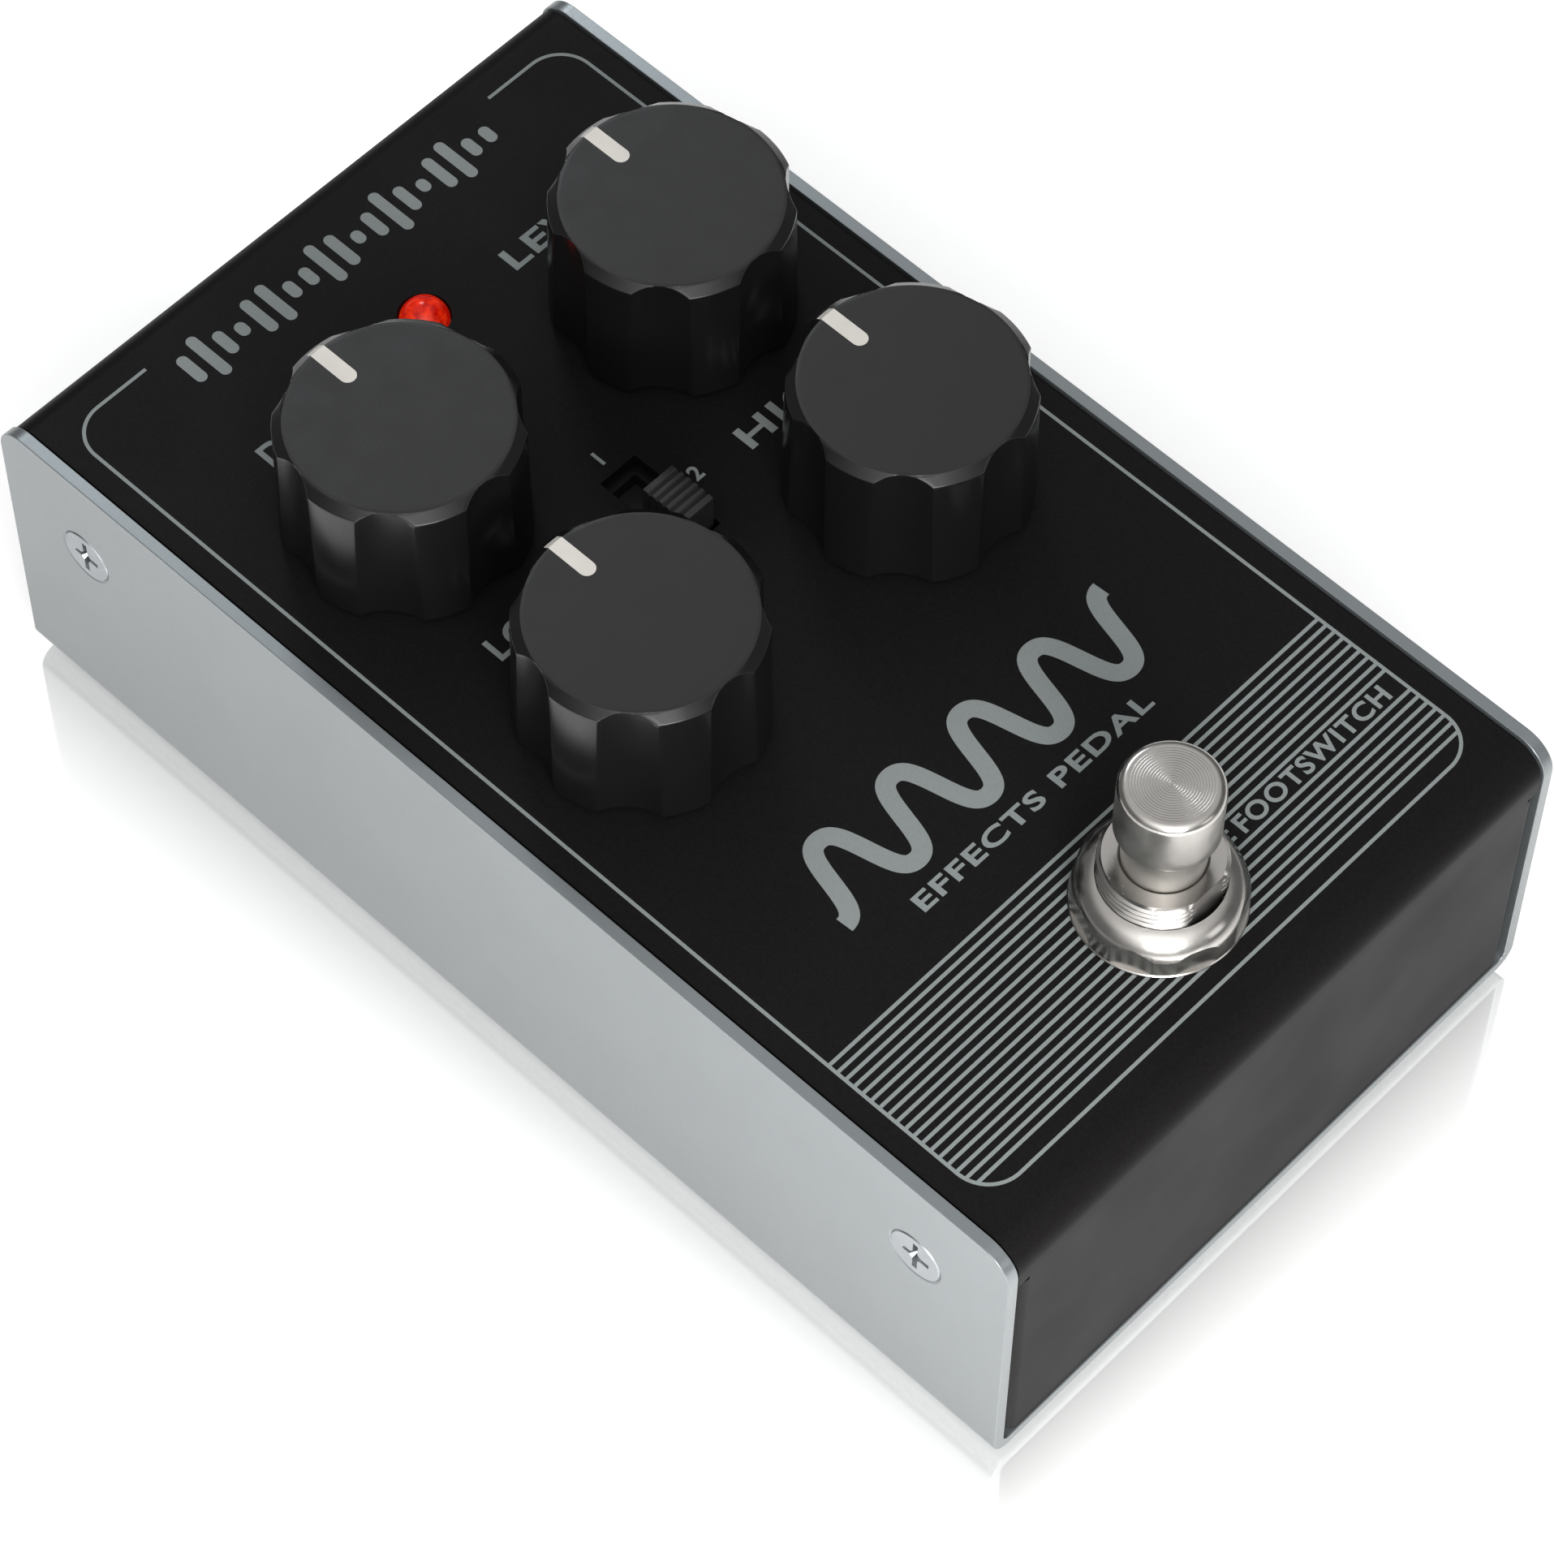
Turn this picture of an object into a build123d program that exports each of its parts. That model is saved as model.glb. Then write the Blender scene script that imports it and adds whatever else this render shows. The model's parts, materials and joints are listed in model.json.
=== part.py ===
from build123d import *
import math
import os

# Guitar effects pedal, in millimetres. +Z is up, +X is the player's right, +Y points from the
# footswitch end to the jack end. The origin is on the surface that the pedal stands on, under the
# middle of its overall length, jack nuts included.

# ---- driving dimensions ----------------------------------------------------------------------

# case
case_width = 74.0
case_length = 129.8
side_height = 36.9
base_sheet = 1.3
base_bend_radius = 2.2
side_corner_radius = 3.5
cover_sheet = 1.2
cover_bend_radius = 3.3
cover_drop = 0.35
cover_side_gap = 0.25
cover_end_inset = 0.15
cover_foot_gap = 0.1
ear_length = 17.0
ear_bend_radius = 1.5
ear_relief_below_panel = 5.0
ear_relief_height = 0.4
cover_corner_cut = 1.6

# rubber feet
foot_height = 1.45
foot_radius = 6.0
foot_edge = 0.4
foot_from_side = 9.5
foot_from_end = 11.0

# side screws, M3 countersunk
screw_from_end = 10.8
screw_above_underside = 25.3
screw_head_radius = 3.0
screw_head_depth = 1.1
screw_shank_radius = 1.5
screw_length = 6.0
screw_ring_gap = 0.2
screw_fit = 0.05
recess_arm = 3.6
recess_width = 0.75
recess_depth = 0.8

# control layout on the panel
knob_spacing = 35.6
back_row_from_back = 35.9
row_spacing = 30.8
lamp_from_back = 19.9
slot_from_back = 51.5
footswitch_from_front = 15.8

# knobs
knob_lift = 0.8
knob_height = 15.7
knob_base_radius = 12.0
knob_draft = 0.25
knob_chamfer_width = 0.95
knob_chamfer_height = 0.8
scallop_count = 7
scallop_radius = 6.2
scallop_depth = 1.2
knob_wall = 1.4
knob_roof = 4.5
knob_hub_wall = 1.6
knob_hub_gap = 1.2
pointer_width = 1.7
pointer_length = 4.9
pointer_depth = 0.5

# potentiometers
pot_width = 9.8
pot_length = 12.0
pot_seat_gap = 0.05
pot_bushing_wall = 0.5
pot_bushing_proud = 3.6
pot_hole_gap = 0.1
pot_shaft_radius = 3.0
pot_shaft_fit = 0.05
pot_shaft_depth = 3.0
pot_washer_rim = 1.9
pot_washer_thickness = 0.5
pot_nut_wall = 1.5
pot_nut_thickness = 2.0
pot_pin_pitch = 2.5

# slide switch
slot_side_gap = 0.35
slot_end_gap = 0.525
slider_width = 3.9
slider_length = 5.45
slider_proud = 4.1
slider_crown = 0.2
slider_step = 2.375
slider_floor_below_panel = 4.4
slider_floor_gap = 0.1
ridge_count = 6
ridge_depth = 0.3
switch_top_below_panel = 2.8
switch_side_gap = 0.2
switch_side_wall = 1.85
switch_end_gap = 0.35
switch_end_wall = 3.3

# indicator lamp, 5 mm
lamp_radius = 2.5
lamp_flange_rim = 0.4
lamp_flange_height = 1.0
lamp_height = 8.6
lamp_proud = 1.75
lamp_hole_gap = 0.15
lamp_lead_size = 0.5
lamp_lead_pitch = 2.54

# footswitch, M12 bushing
bushing_wall = 2.0
bushing_bore_radius = 4.0
bushing_proud = 7.7
bushing_flat_depth = 0.7
bushing_chamfer = 0.4
bushing_hole_gap = 0.15
dress_washer_rim = 2.25
dress_washer_thickness = 0.35
dress_nut_wall = 2.15
dress_nut_flat_depth = 0.28
dress_nut_sides = 8
dress_nut_side_height = 2.05
dress_nut_height = 4.35
dress_nut_crown = 0.3
nut_thread_gap = 0.05
plunger_cap_rim = 0.9
plunger_cap_height = 6.7
plunger_cap_round = 0.9
plunger_neck_height = 5.1
plunger_neck_depth = 10.5
plunger_fit = 0.06
plunger_rod_radius = 1.5
plunger_rod_length = 6.0
plunger_travel = 3.0
lock_washer_thickness = 0.5
lock_washer_rim = 2.0
lock_nut_thickness = 2.0
lock_nut_wall = 1.0
footswitch_side_wall = 2.6
footswitch_end_wall = 3.1
footswitch_body_height = 13.5
footswitch_body_drop = 4.25
frame_sheet = 0.6
frame_depth = 6.0
spring_inset = 1.0
spring_wire = 0.5
spring_turns = 5
chamber_gap = 0.15
lug_width = 2.0
lug_thickness = 0.6
lug_length = 4.4
lug_pitch_x = 5.3
lug_pitch_y = 4.8
footswitch_lead_count = 5
footswitch_board_thickness = 1.2

# main board
board_thickness = 1.6
board_above_screws = 0.1
board_edge_gap = 0.5
board_front_margin = 11.0
board_back_gap = 1.0
lead_clearance = 0.05

# jack sockets, 6.35 mm plugs
jack_spacing = 40.0
jack_bore_radius = 3.25
jack_body_width = 15.5
jack_body_height = 14.5
jack_body_depth = 29.0
jack_nose_wall = 1.45
jack_collar_depth = 5.4
jack_wall = 1.3
jack_washer_rim = 1.9
jack_washer_thickness = 0.4
jack_nut_wall = 1.3
jack_nut_thickness = 1.6
jack_nose_past_nut = 0.35
jack_hole_gap = 0.1
contact_thickness = 0.4
contact_width = 3.0
contact_clear = 0.35

# power inlet, 5.5 mm barrel plug with a 2.1 mm pin
inlet_side_wall = 1.4
inlet_top_wall = 2.4
inlet_depth = 14.0
inlet_nose_wall = 1.0
inlet_bore_radius = 3.1
inlet_bore_depth = 10.0
inlet_pin_radius = 1.03
inlet_pin_short = 0.8

# battery and its leads
battery_length = 46.4
battery_width = 26.5
battery_height = 17.0
battery_edge_radius = 2.0
battery_behind_footswitch = 5.0
battery_pad_height = 1.5
terminal_spacing = 12.7
terminal_radius = 2.9
terminal_height = 2.4
snap_thickness = 2.6
lead_radius = 0.6
lead_bend_share = 0.62
lead_landing = 3.0
lead_spacing = 2.6

# small parts on the board
chip_length = 9.6
chip_width = 6.4
chip_height = 3.2
chip_spacing = 24.0
can_radius = 2.5
can_height = 5.2
can_count = 6
can_spacing = 9.0
film_length = 7.2
film_width = 3.0
film_height = 5.0
film_count = 5
film_spacing = 11.5
resistor_radius = 1.1
resistor_length = 5.6
resistor_spacing = 11.2
resistor_row_spacing = 5.0
resistor_row_count = 4

cut_over = 1.0

# ---- levels and stations worked out from the dimensions ---------------------------------------

rear_proud = jack_washer_thickness + jack_nut_thickness + jack_nose_past_nut - cover_end_inset
case_centre_y = -rear_proud / 2
front_y = case_centre_y - case_length / 2
back_y = case_centre_y + case_length / 2
cover_front = front_y + cover_end_inset
cover_back = back_y - cover_end_inset
cover_back_inner = cover_back - cover_sheet

floor_z = foot_height
base_top = floor_z + base_sheet
side_top = floor_z + side_height
panel_top = side_top - cover_drop
panel_under = panel_top - cover_sheet
screw_z = floor_z + screw_above_underside
relief_z = panel_top - ear_relief_below_panel

cover_half = case_width / 2 - base_sheet - cover_side_gap
inner_half = cover_half - cover_sheet

knob_shoulder_radius = knob_base_radius - knob_draft
knob_top_radius = knob_shoulder_radius - knob_chamfer_width
scallop_centre_radius = knob_base_radius - scallop_depth + scallop_radius
pointer_inner = knob_top_radius - pointer_length
knob_hub_radius = pot_shaft_radius + knob_hub_wall
pot_bushing_radius = pot_shaft_radius + pot_bushing_wall
pot_washer_radius = pot_bushing_radius + pot_washer_rim
pot_nut_flats = 2 * (pot_bushing_radius + pot_nut_wall)

slot_width = slider_width + 2 * slot_side_gap
slot_length = slider_length + 2 * slider_step + 2 * slot_end_gap
switch_width = slider_width + 2 * (switch_side_gap + switch_side_wall)
switch_length = slider_length + 2 * slider_step + 2 * (switch_end_gap + switch_end_wall)
lamp_flange_radius = lamp_radius + lamp_flange_rim

bushing_radius = bushing_bore_radius + bushing_wall
bushing_flat_from_axis = bushing_radius - bushing_flat_depth
plunger_cap_radius = bushing_bore_radius + plunger_cap_rim
spring_radius = bushing_bore_radius - spring_inset
footswitch_body_width = 2 * (bushing_radius + footswitch_side_wall)
footswitch_body_length = 2 * (bushing_radius + footswitch_end_wall)
dress_washer_radius = bushing_radius + dress_washer_rim
dress_nut_radius = bushing_radius + dress_nut_wall
dress_nut_flat_from_axis = dress_nut_radius - dress_nut_flat_depth
lock_washer_radius = bushing_radius + lock_washer_rim
lock_nut_flats = 2 * (bushing_radius + lock_nut_wall)

jack_nose_radius = jack_bore_radius + jack_nose_wall
jack_washer_radius = jack_nose_radius + jack_washer_rim
jack_nut_flats = 2 * (jack_nose_radius + jack_nut_wall)
inlet_nose_radius = inlet_bore_radius + inlet_nose_wall
inlet_width = 2 * (inlet_bore_radius + inlet_side_wall)
inlet_height = 2 * (inlet_bore_radius + inlet_top_wall)

back_row_y = back_y - back_row_from_back
front_row_y = back_row_y - row_spacing
lamp_y = back_y - lamp_from_back
slot_y = back_y - slot_from_back
footswitch_y = front_y + footswitch_from_front

pot_top = panel_under - pot_seat_gap
board_bottom = screw_z + screw_shank_radius + board_above_screws
board_top = board_bottom + board_thickness
pot_height = pot_top - board_top
board_half = inner_half - board_edge_gap
board_front = front_row_y - board_front_margin
board_back = cover_back_inner - board_back_gap

jack_z = board_bottom - jack_body_height / 2 - lead_clearance
footswitch_body_top = panel_under - footswitch_body_drop
footswitch_body_bottom = footswitch_body_top - footswitch_body_height
footswitch_board_top = footswitch_body_bottom - lug_length / 2

battery_front = footswitch_y + footswitch_body_length / 2 + battery_behind_footswitch
battery_bottom = base_top + battery_pad_height
battery_back = battery_front + battery_width
battery_y = (battery_front + battery_back) / 2
battery_top = battery_bottom + battery_height

chip_row_y = (back_row_y + front_row_y) / 2
can_row_y = chip_row_y - chip_length

KNOBS = {
    "gain": (-knob_spacing / 2, back_row_y),
    "volume": (knob_spacing / 2, back_row_y),
    "bass": (-knob_spacing / 2, front_row_y),
    "treble": (knob_spacing / 2, front_row_y),
}
JACKS = {
    "output": -jack_spacing / 2,
    "input": jack_spacing / 2,
}


# ---- shape helpers ----------------------------------------------------------------------------

def block(x0, x1, y0, y1, z0, z1):
    """A rectangular block between two opposite corners."""
    middle = Pos((x0 + x1) / 2, (y0 + y1) / 2, (z0 + z1) / 2)
    return middle * Box(x1 - x0, y1 - y0, z1 - z0)


def upright(radius, z0, z1, x=0.0, y=0.0):
    """A vertical cylinder."""
    return Pos(x, y, (z0 + z1) / 2) * Cylinder(radius, z1 - z0)


def lying(radius, y0, y1, x=0.0, z=0.0):
    """A cylinder along Y."""
    return Pos(x, (y0 + y1) / 2, z) * Rot(90, 0, 0) * Cylinder(radius, y1 - y0)


def crosswise(radius, x0, x1, y=0.0, z=0.0):
    """A cylinder along X."""
    return Pos((x0 + x1) / 2, y, z) * Rot(0, 90, 0) * Cylinder(radius, x1 - x0)


def prism(sides, flats, z0, z1, x=0.0, y=0.0):
    """An upright prism with a regular outline, sized across its flats."""
    outline = RegularPolygon(flats / 2, sides, major_radius=False)
    return Pos(x, y, z0) * extrude(outline, z1 - z0)


def channel(width, height, sheet, bend):
    """The section of a folded U channel, open at the top, with its base centred on the origin."""
    outer = Pos(0, height / 2) * Rectangle(width, height)
    outer = fillet(outer.vertices().group_by(Axis.Y)[0], bend)
    inner = Pos(0, height / 2 + sheet) * Rectangle(width - 2 * sheet, height)
    inner = fillet(inner.vertices().group_by(Axis.Y)[0], bend - sheet)
    return outer - inner


def lead(points, radii, radius):
    """A round lead along straight runs joined by tangent arcs."""
    path = FilletPolyline(*points, radius=radii)
    return sweep(Plane(path @ 0, z_dir=path % 0) * Circle(radius), path=path)


def save(shape, node):
    """Write one sub-part, a solid or a list of separate solids."""
    if isinstance(shape, list):
        shape = Compound(children=shape)
    export_step(shape, "parts/" + node + ".step")


# ---- case -------------------------------------------------------------------------------------

def screw_places():
    """Each side screw's side of the case and its place along it."""
    for side in (-1, 1):
        for y in (front_y + screw_from_end, back_y - screw_from_end):
            yield side, y


def side_cone(side, y, outer_radius, inner_radius, depth):
    """A cone whose wide end lies in a side face and which narrows inwards."""
    cone = Cone(inner_radius, outer_radius, depth)
    place = Pos(side * (case_width / 2 - depth / 2), y, screw_z)
    return place * Rot(0, side * 90, 0) * cone


def base_chassis():
    """The folded bottom and sides, with rounded top corners and countersunk screw holes."""
    section = Plane.XZ * channel(case_width, side_height, base_sheet, base_bend_radius)
    folded = Pos(0, case_centre_y, floor_z) * extrude(section, case_length / 2, both=True)
    outline = Pos(0, side_height / 2) * Rectangle(case_length, side_height)
    outline = fillet(outline.vertices().group_by(Axis.Y)[-1], side_corner_radius)
    silhouette = extrude(Plane.YZ * outline, case_width, both=True)
    shell = folded & (Pos(0, case_centre_y, floor_z) * silhouette)
    hole_radius = screw_shank_radius + screw_ring_gap
    for side, y in screw_places():
        sink = side_cone(side, y, screw_head_radius + screw_ring_gap, hole_radius, screw_head_depth)
        hole = crosswise(hole_radius, *sorted((side * inner_half, side * case_width / 2)), y, screw_z)
        shell = shell - sink - hole
    return shell


def cover_ears(end_y, turn):
    """One end wall of the cover with the two ears folded back from it along the sides."""
    bottom = base_top + cover_foot_gap
    section = channel(2 * cover_half, ear_length, cover_sheet, ear_bend_radius)
    ears = extrude(section, relief_z - bottom)
    return Pos(0, end_y, bottom) * Rot(0, 0, turn) * ears


def cover_openings():
    """Everything that is cut through the panel and the back wall."""
    z0 = panel_under - cut_over
    z1 = panel_top + cut_over
    cuts = [upright(pot_bushing_radius + pot_hole_gap, z0, z1, x, y) for x, y in KNOBS.values()]
    cuts.append(upright(lamp_radius + lamp_hole_gap, z0, z1, 0, lamp_y))
    cuts.append(upright(bushing_radius + bushing_hole_gap, z0, z1, 0, footswitch_y))
    half = slot_length / 2
    cuts.append(block(-slot_width / 2, slot_width / 2, slot_y - half, slot_y + half, z0, z1))
    y0 = cover_back_inner - cut_over
    y1 = cover_back + cut_over
    for x in JACKS.values():
        cuts.append(lying(jack_nose_radius + jack_hole_gap, y0, y1, x, jack_z))
    cuts.append(lying(inlet_nose_radius + jack_hole_gap, y0, y1, 0, jack_z))
    return cuts


def top_cover():
    """The folded panel, front and back, with tapped ears for the side screws."""
    length = cover_back - cover_front
    drop = panel_top - relief_z
    section = Plane.YZ * Rot(0, 0, 180) * channel(length, drop, cover_sheet, cover_bend_radius)
    folded = Pos(0, (cover_front + cover_back) / 2, panel_top) * extrude(section, cover_half, both=True)
    cover = folded + cover_ears(cover_front, 0) + cover_ears(cover_back, 180)
    reach = case_length
    for side in (-1, 1):
        edge = side * (cover_half - ear_bend_radius)
        outside = side * case_width
        x0, x1 = sorted((edge, outside))
        cover -= block(x0, x1, -reach, reach, relief_z - ear_relief_height, relief_z)
        low = base_top
        corner = Polyline(
            (side * cover_half, low + cover_corner_cut),
            (side * (cover_half - cover_corner_cut), low),
            (outside, low - cut_over),
            (outside, low + cover_corner_cut),
            close=True,
        )
        cover -= extrude(Plane.XZ * make_face(corner), reach, both=True)
    for side, y in screw_places():
        x0, x1 = sorted((side * (inner_half - cut_over), side * case_width / 2))
        cover -= crosswise(screw_shank_radius + screw_fit, x0, x1, y, screw_z)
    for cut in cover_openings():
        cover -= cut
    return cover


def case_screw(side, y):
    """A countersunk screw with a cross recess, its head flush with the side."""
    face_x = case_width / 2
    head = side_cone(side, y, screw_head_radius, screw_shank_radius, screw_head_depth)
    x0, x1 = sorted((side * (face_x - screw_length), side * (face_x - screw_head_depth / 2)))
    screw = head + crosswise(screw_shank_radius, x0, x1, y, screw_z)
    x0, x1 = sorted((side * (face_x - recess_depth), side * (face_x + cut_over)))
    for long_y, long_z in ((recess_arm, recess_width), (recess_width, recess_arm)):
        screw -= block(x0, x1, y - long_y / 2, y + long_y / 2, screw_z - long_z / 2, screw_z + long_z / 2)
    return screw


def rubber_feet():
    """Four round bumpers stuck under the base."""
    feet = []
    for x in (-case_width / 2 + foot_from_side, case_width / 2 - foot_from_side):
        for y in (front_y + foot_from_end, back_y - foot_from_end):
            foot = upright(foot_radius, 0, foot_height, x, y)
            feet.append(chamfer(foot.edges().group_by(Axis.Z)[0], foot_edge))
    return feet


# ---- knobs and potentiometers -----------------------------------------------------------------

knob_bottom = panel_top + knob_lift
knob_top = knob_bottom + knob_height


def knob_blank():
    """The turned outside of a knob, before its scallops, on the axis x = y = 0."""
    shoulder = knob_top - knob_chamfer_height
    outline = Polyline(
        (0, knob_bottom),
        (knob_base_radius, knob_bottom),
        (knob_shoulder_radius, shoulder),
        (knob_top_radius, knob_top),
        (0, knob_top),
        close=True,
    )
    return revolve(Plane.XZ * make_face(outline), Axis.Z)


def knob_pointer_space():
    """The open-ended groove for the pointer, with a round inner end, pointing along +Y."""
    z0 = knob_top - pointer_depth
    z1 = knob_top + cut_over
    half = pointer_width / 2
    groove = block(-half, half, pointer_inner + half, knob_base_radius + cut_over, z0, z1)
    return groove + upright(half, z0, z1, 0, pointer_inner + half)


def knob():
    """A scalloped knob, hollow below, with a hub that grips the shaft."""
    body = knob_blank()
    for index in range(scallop_count):
        angle = math.radians(270 + index * 360 / scallop_count)
        x = scallop_centre_radius * math.cos(angle)
        y = scallop_centre_radius * math.sin(angle)
        body -= upright(scallop_radius, knob_bottom - cut_over, knob_top + cut_over, x, y)
    cavity_radius = scallop_centre_radius - scallop_radius - knob_wall
    roof = knob_top - knob_roof
    hub_bottom = panel_top + pot_bushing_proud + knob_hub_gap
    body -= upright(cavity_radius, knob_bottom - cut_over, roof)
    body += upright(knob_hub_radius, hub_bottom, roof)
    body -= upright(pot_shaft_radius + lead_clearance, hub_bottom - cut_over, roof)
    return body - knob_pointer_space()


def pot_housing():
    """A potentiometer's housing with its bushing, bored for the shaft."""
    half_x = pot_width / 2
    half_y = pot_length / 2
    housing = block(-half_x, half_x, -half_y, half_y, board_top, pot_top)
    housing += upright(pot_bushing_radius, pot_top, panel_top + pot_bushing_proud)
    bore_bottom = pot_top - pot_shaft_depth - pot_seat_gap
    return housing - upright(pot_shaft_radius + pot_shaft_fit, bore_bottom, panel_top + knob_height)


def pot_shaft():
    """The turning shaft, from inside the housing up into the knob's hub."""
    return upright(pot_shaft_radius, pot_top - pot_shaft_depth, knob_top - knob_roof - lead_clearance)


def pot_washer():
    """The flat washer under a potentiometer's nut."""
    washer = upright(pot_washer_radius, panel_top, panel_top + pot_washer_thickness)
    return washer - upright(pot_bushing_radius + nut_thread_gap, panel_top, panel_top + knob_height)


def pot_nut():
    """The hexagonal nut that holds a potentiometer to the panel."""
    z0 = panel_top + pot_washer_thickness
    nut = prism(6, pot_nut_flats, z0, z0 + pot_nut_thickness)
    return nut - upright(pot_bushing_radius + nut_thread_gap, z0 - cut_over, z0 + knob_height)


def pot_pins():
    """Three pins in front of each potentiometer, soldered through the board."""
    pins = []
    for x, y in KNOBS.values():
        for index in (-1, 0, 1):
            pin_x = x + index * pot_pin_pitch
            pin_y = y - pot_length / 2 - lamp_lead_size
            half = lamp_lead_size / 2
            pins.append(block(
                pin_x - half, pin_x + half, pin_y - half, pin_y + half,
                board_bottom - cut_over, board_top + pot_height / 2,
            ))
    return pins


# ---- slide switch and lamp --------------------------------------------------------------------

slider_floor = panel_top - slider_floor_below_panel
slider_rest_y = slot_y - slider_step


def slide_switch_body():
    """The switch housing, with a well that the slider runs in."""
    top = panel_top - switch_top_below_panel
    half_x = switch_width / 2
    half_y = switch_length / 2
    body = block(-half_x, half_x, slot_y - half_y, slot_y + half_y, board_top, top)
    well_x = slider_width / 2 + switch_side_gap
    well_y = slider_step + slider_length / 2 + switch_end_gap
    return body - block(-well_x, well_x, slot_y - well_y, slot_y + well_y, slider_floor, top + cut_over)


def slide_switch_knob():
    """The ribbed slider, crowned along its travel, standing out of the slot."""
    half = slider_length / 2
    bottom = slider_floor + slider_floor_gap
    end_z = panel_top + slider_proud - slider_crown
    crown = ThreePointArc((half, end_z), (0, end_z + slider_crown), (-half, end_z))
    sides = Polyline((-half, end_z), (-half, bottom), (half, bottom), (half, end_z))
    section = Plane.YZ * make_face(Curve() + [crown, sides])
    body = extrude(section, slider_width / 2, both=True)
    for index in range(1, ridge_count):
        y = (index / ridge_count - 0.5) * slider_length
        sag = slider_crown * (y / half) ** 2
        groove = Pos(0, y, end_z + slider_crown - sag) * Rot(45, 0, 0)
        edge = ridge_depth * math.sqrt(2)
        body -= groove * Box(slider_width + cut_over, edge, edge)
    return Pos(0, slider_rest_y, 0) * body


def slide_switch_pins():
    """Two rows of four pins under the slide switch."""
    pins = []
    half = lamp_lead_size / 2
    for x in (-switch_width / 2 + cut_over, switch_width / 2 - cut_over):
        for index in range(4):
            y = slot_y + (index - 1.5) * pot_pin_pitch
            pins.append(block(x - half, x + half, y - half, y + half, board_bottom - cut_over, board_top))
    return pins


def lamp():
    """A round-topped lamp with a flange at its foot."""
    dome_z = panel_top + lamp_proud - lamp_radius
    foot = panel_top + lamp_proud - lamp_height
    body = upright(lamp_radius, foot, dome_z)
    body += Pos(0, 0, dome_z) * Sphere(lamp_radius)
    body += upright(lamp_flange_radius, foot, foot + lamp_flange_height)
    return Pos(0, lamp_y, 0) * body


def lamp_holes(shape):
    """A shape at the lamp, with holes for the two leads."""
    size = lamp_lead_size / 2 + lead_clearance
    for x in (-lamp_lead_pitch / 2, lamp_lead_pitch / 2):
        shape -= block(x - size, x + size, lamp_y - size, lamp_y + size, 0, side_top)
    return shape


def lamp_spacer():
    """The spacer that holds the lamp off the board."""
    foot = panel_top + lamp_proud - lamp_height
    return lamp_holes(upright(lamp_radius, board_top, foot, 0, lamp_y))


def lamp_leads():
    """The lamp's two leads, down through the spacer and the board."""
    foot = panel_top + lamp_proud - lamp_height
    half = lamp_lead_size / 2
    return [
        block(x - half, x + half, lamp_y - half, lamp_y + half, board_bottom - cut_over, foot)
        for x in (-lamp_lead_pitch / 2, lamp_lead_pitch / 2)
    ]


# ---- footswitch -------------------------------------------------------------------------------

bushing_top = panel_top + bushing_proud
shoulder_z = bushing_top - plunger_neck_depth
rod_bottom = shoulder_z - plunger_rod_length
chamber_bottom = rod_bottom + plunger_travel / 2


def footswitch_plunger():
    """The cap, its neck and the rod that works the switch, turned from one piece."""
    cap_bottom = bushing_top + plunger_neck_height
    cap_top = cap_bottom + plunger_cap_height
    cap = upright(plunger_cap_radius, cap_bottom, cap_top)
    cap = fillet(cap.edges().group_by(Axis.Z)[-1], plunger_cap_round)
    neck = upright(bushing_bore_radius - plunger_fit, shoulder_z, cap_bottom)
    rod = upright(plunger_rod_radius, rod_bottom, shoulder_z)
    return Pos(0, footswitch_y, 0) * (cap + neck + rod)


def footswitch_bushing():
    """The threaded bushing, with one flat towards the front."""
    blank = upright(bushing_radius, footswitch_body_top, bushing_top)
    blank = chamfer(blank.edges().group_by(Axis.Z)[-1], bushing_chamfer)
    reach = 2 * bushing_radius
    flat = block(-reach, reach, -reach, -bushing_flat_from_axis, footswitch_body_top, bushing_top)
    bored = blank - upright(bushing_bore_radius, footswitch_body_top, bushing_top)
    return Pos(0, footswitch_y, 0) * (bored - flat)


def dress_washer():
    """The flat washer between the dress nut and the panel."""
    top = panel_top + dress_washer_thickness
    washer = upright(dress_washer_radius, panel_top, top)
    washer -= upright(bushing_radius + nut_thread_gap, panel_top, top)
    return Pos(0, footswitch_y, 0) * washer


def dress_nut():
    """The visible nut: flats and turned corners below, a smooth dome above."""
    z0 = panel_top + dress_washer_thickness
    inner = bushing_radius + nut_thread_gap
    top = z0 + dress_nut_height
    side = z0 + dress_nut_side_height
    mid_radius = (inner + dress_nut_radius) / 2 + dress_nut_crown
    dome_mid = (mid_radius, (side + top) / 2 + dress_nut_crown)
    dome = ThreePointArc((dress_nut_radius, side), dome_mid, (inner, top))
    rest = Polyline((inner, top), (inner, z0), (dress_nut_radius, z0), (dress_nut_radius, side))
    turned = revolve(Plane.XZ * make_face(Curve() + [dome, rest]), Axis.Z)
    nut = turned & prism(dress_nut_sides, 2 * dress_nut_flat_from_axis, z0, top)
    return Pos(0, footswitch_y, 0) * nut


def lock_washer():
    """The washer under the panel, above the lock nut."""
    z0 = panel_under - lock_washer_thickness
    washer = upright(lock_washer_radius, z0, panel_under)
    washer -= upright(bushing_radius + nut_thread_gap, z0, panel_under)
    return Pos(0, footswitch_y, 0) * washer


def lock_nut():
    """The hexagonal nut that sets how far the bushing stands out of the panel."""
    z1 = panel_under - lock_washer_thickness
    z0 = z1 - lock_nut_thickness
    nut = prism(6, lock_nut_flats, z0, z1)
    nut -= upright(bushing_radius + nut_thread_gap, z0 - cut_over, z1 + cut_over)
    return Pos(0, footswitch_y, 0) * nut


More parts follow.
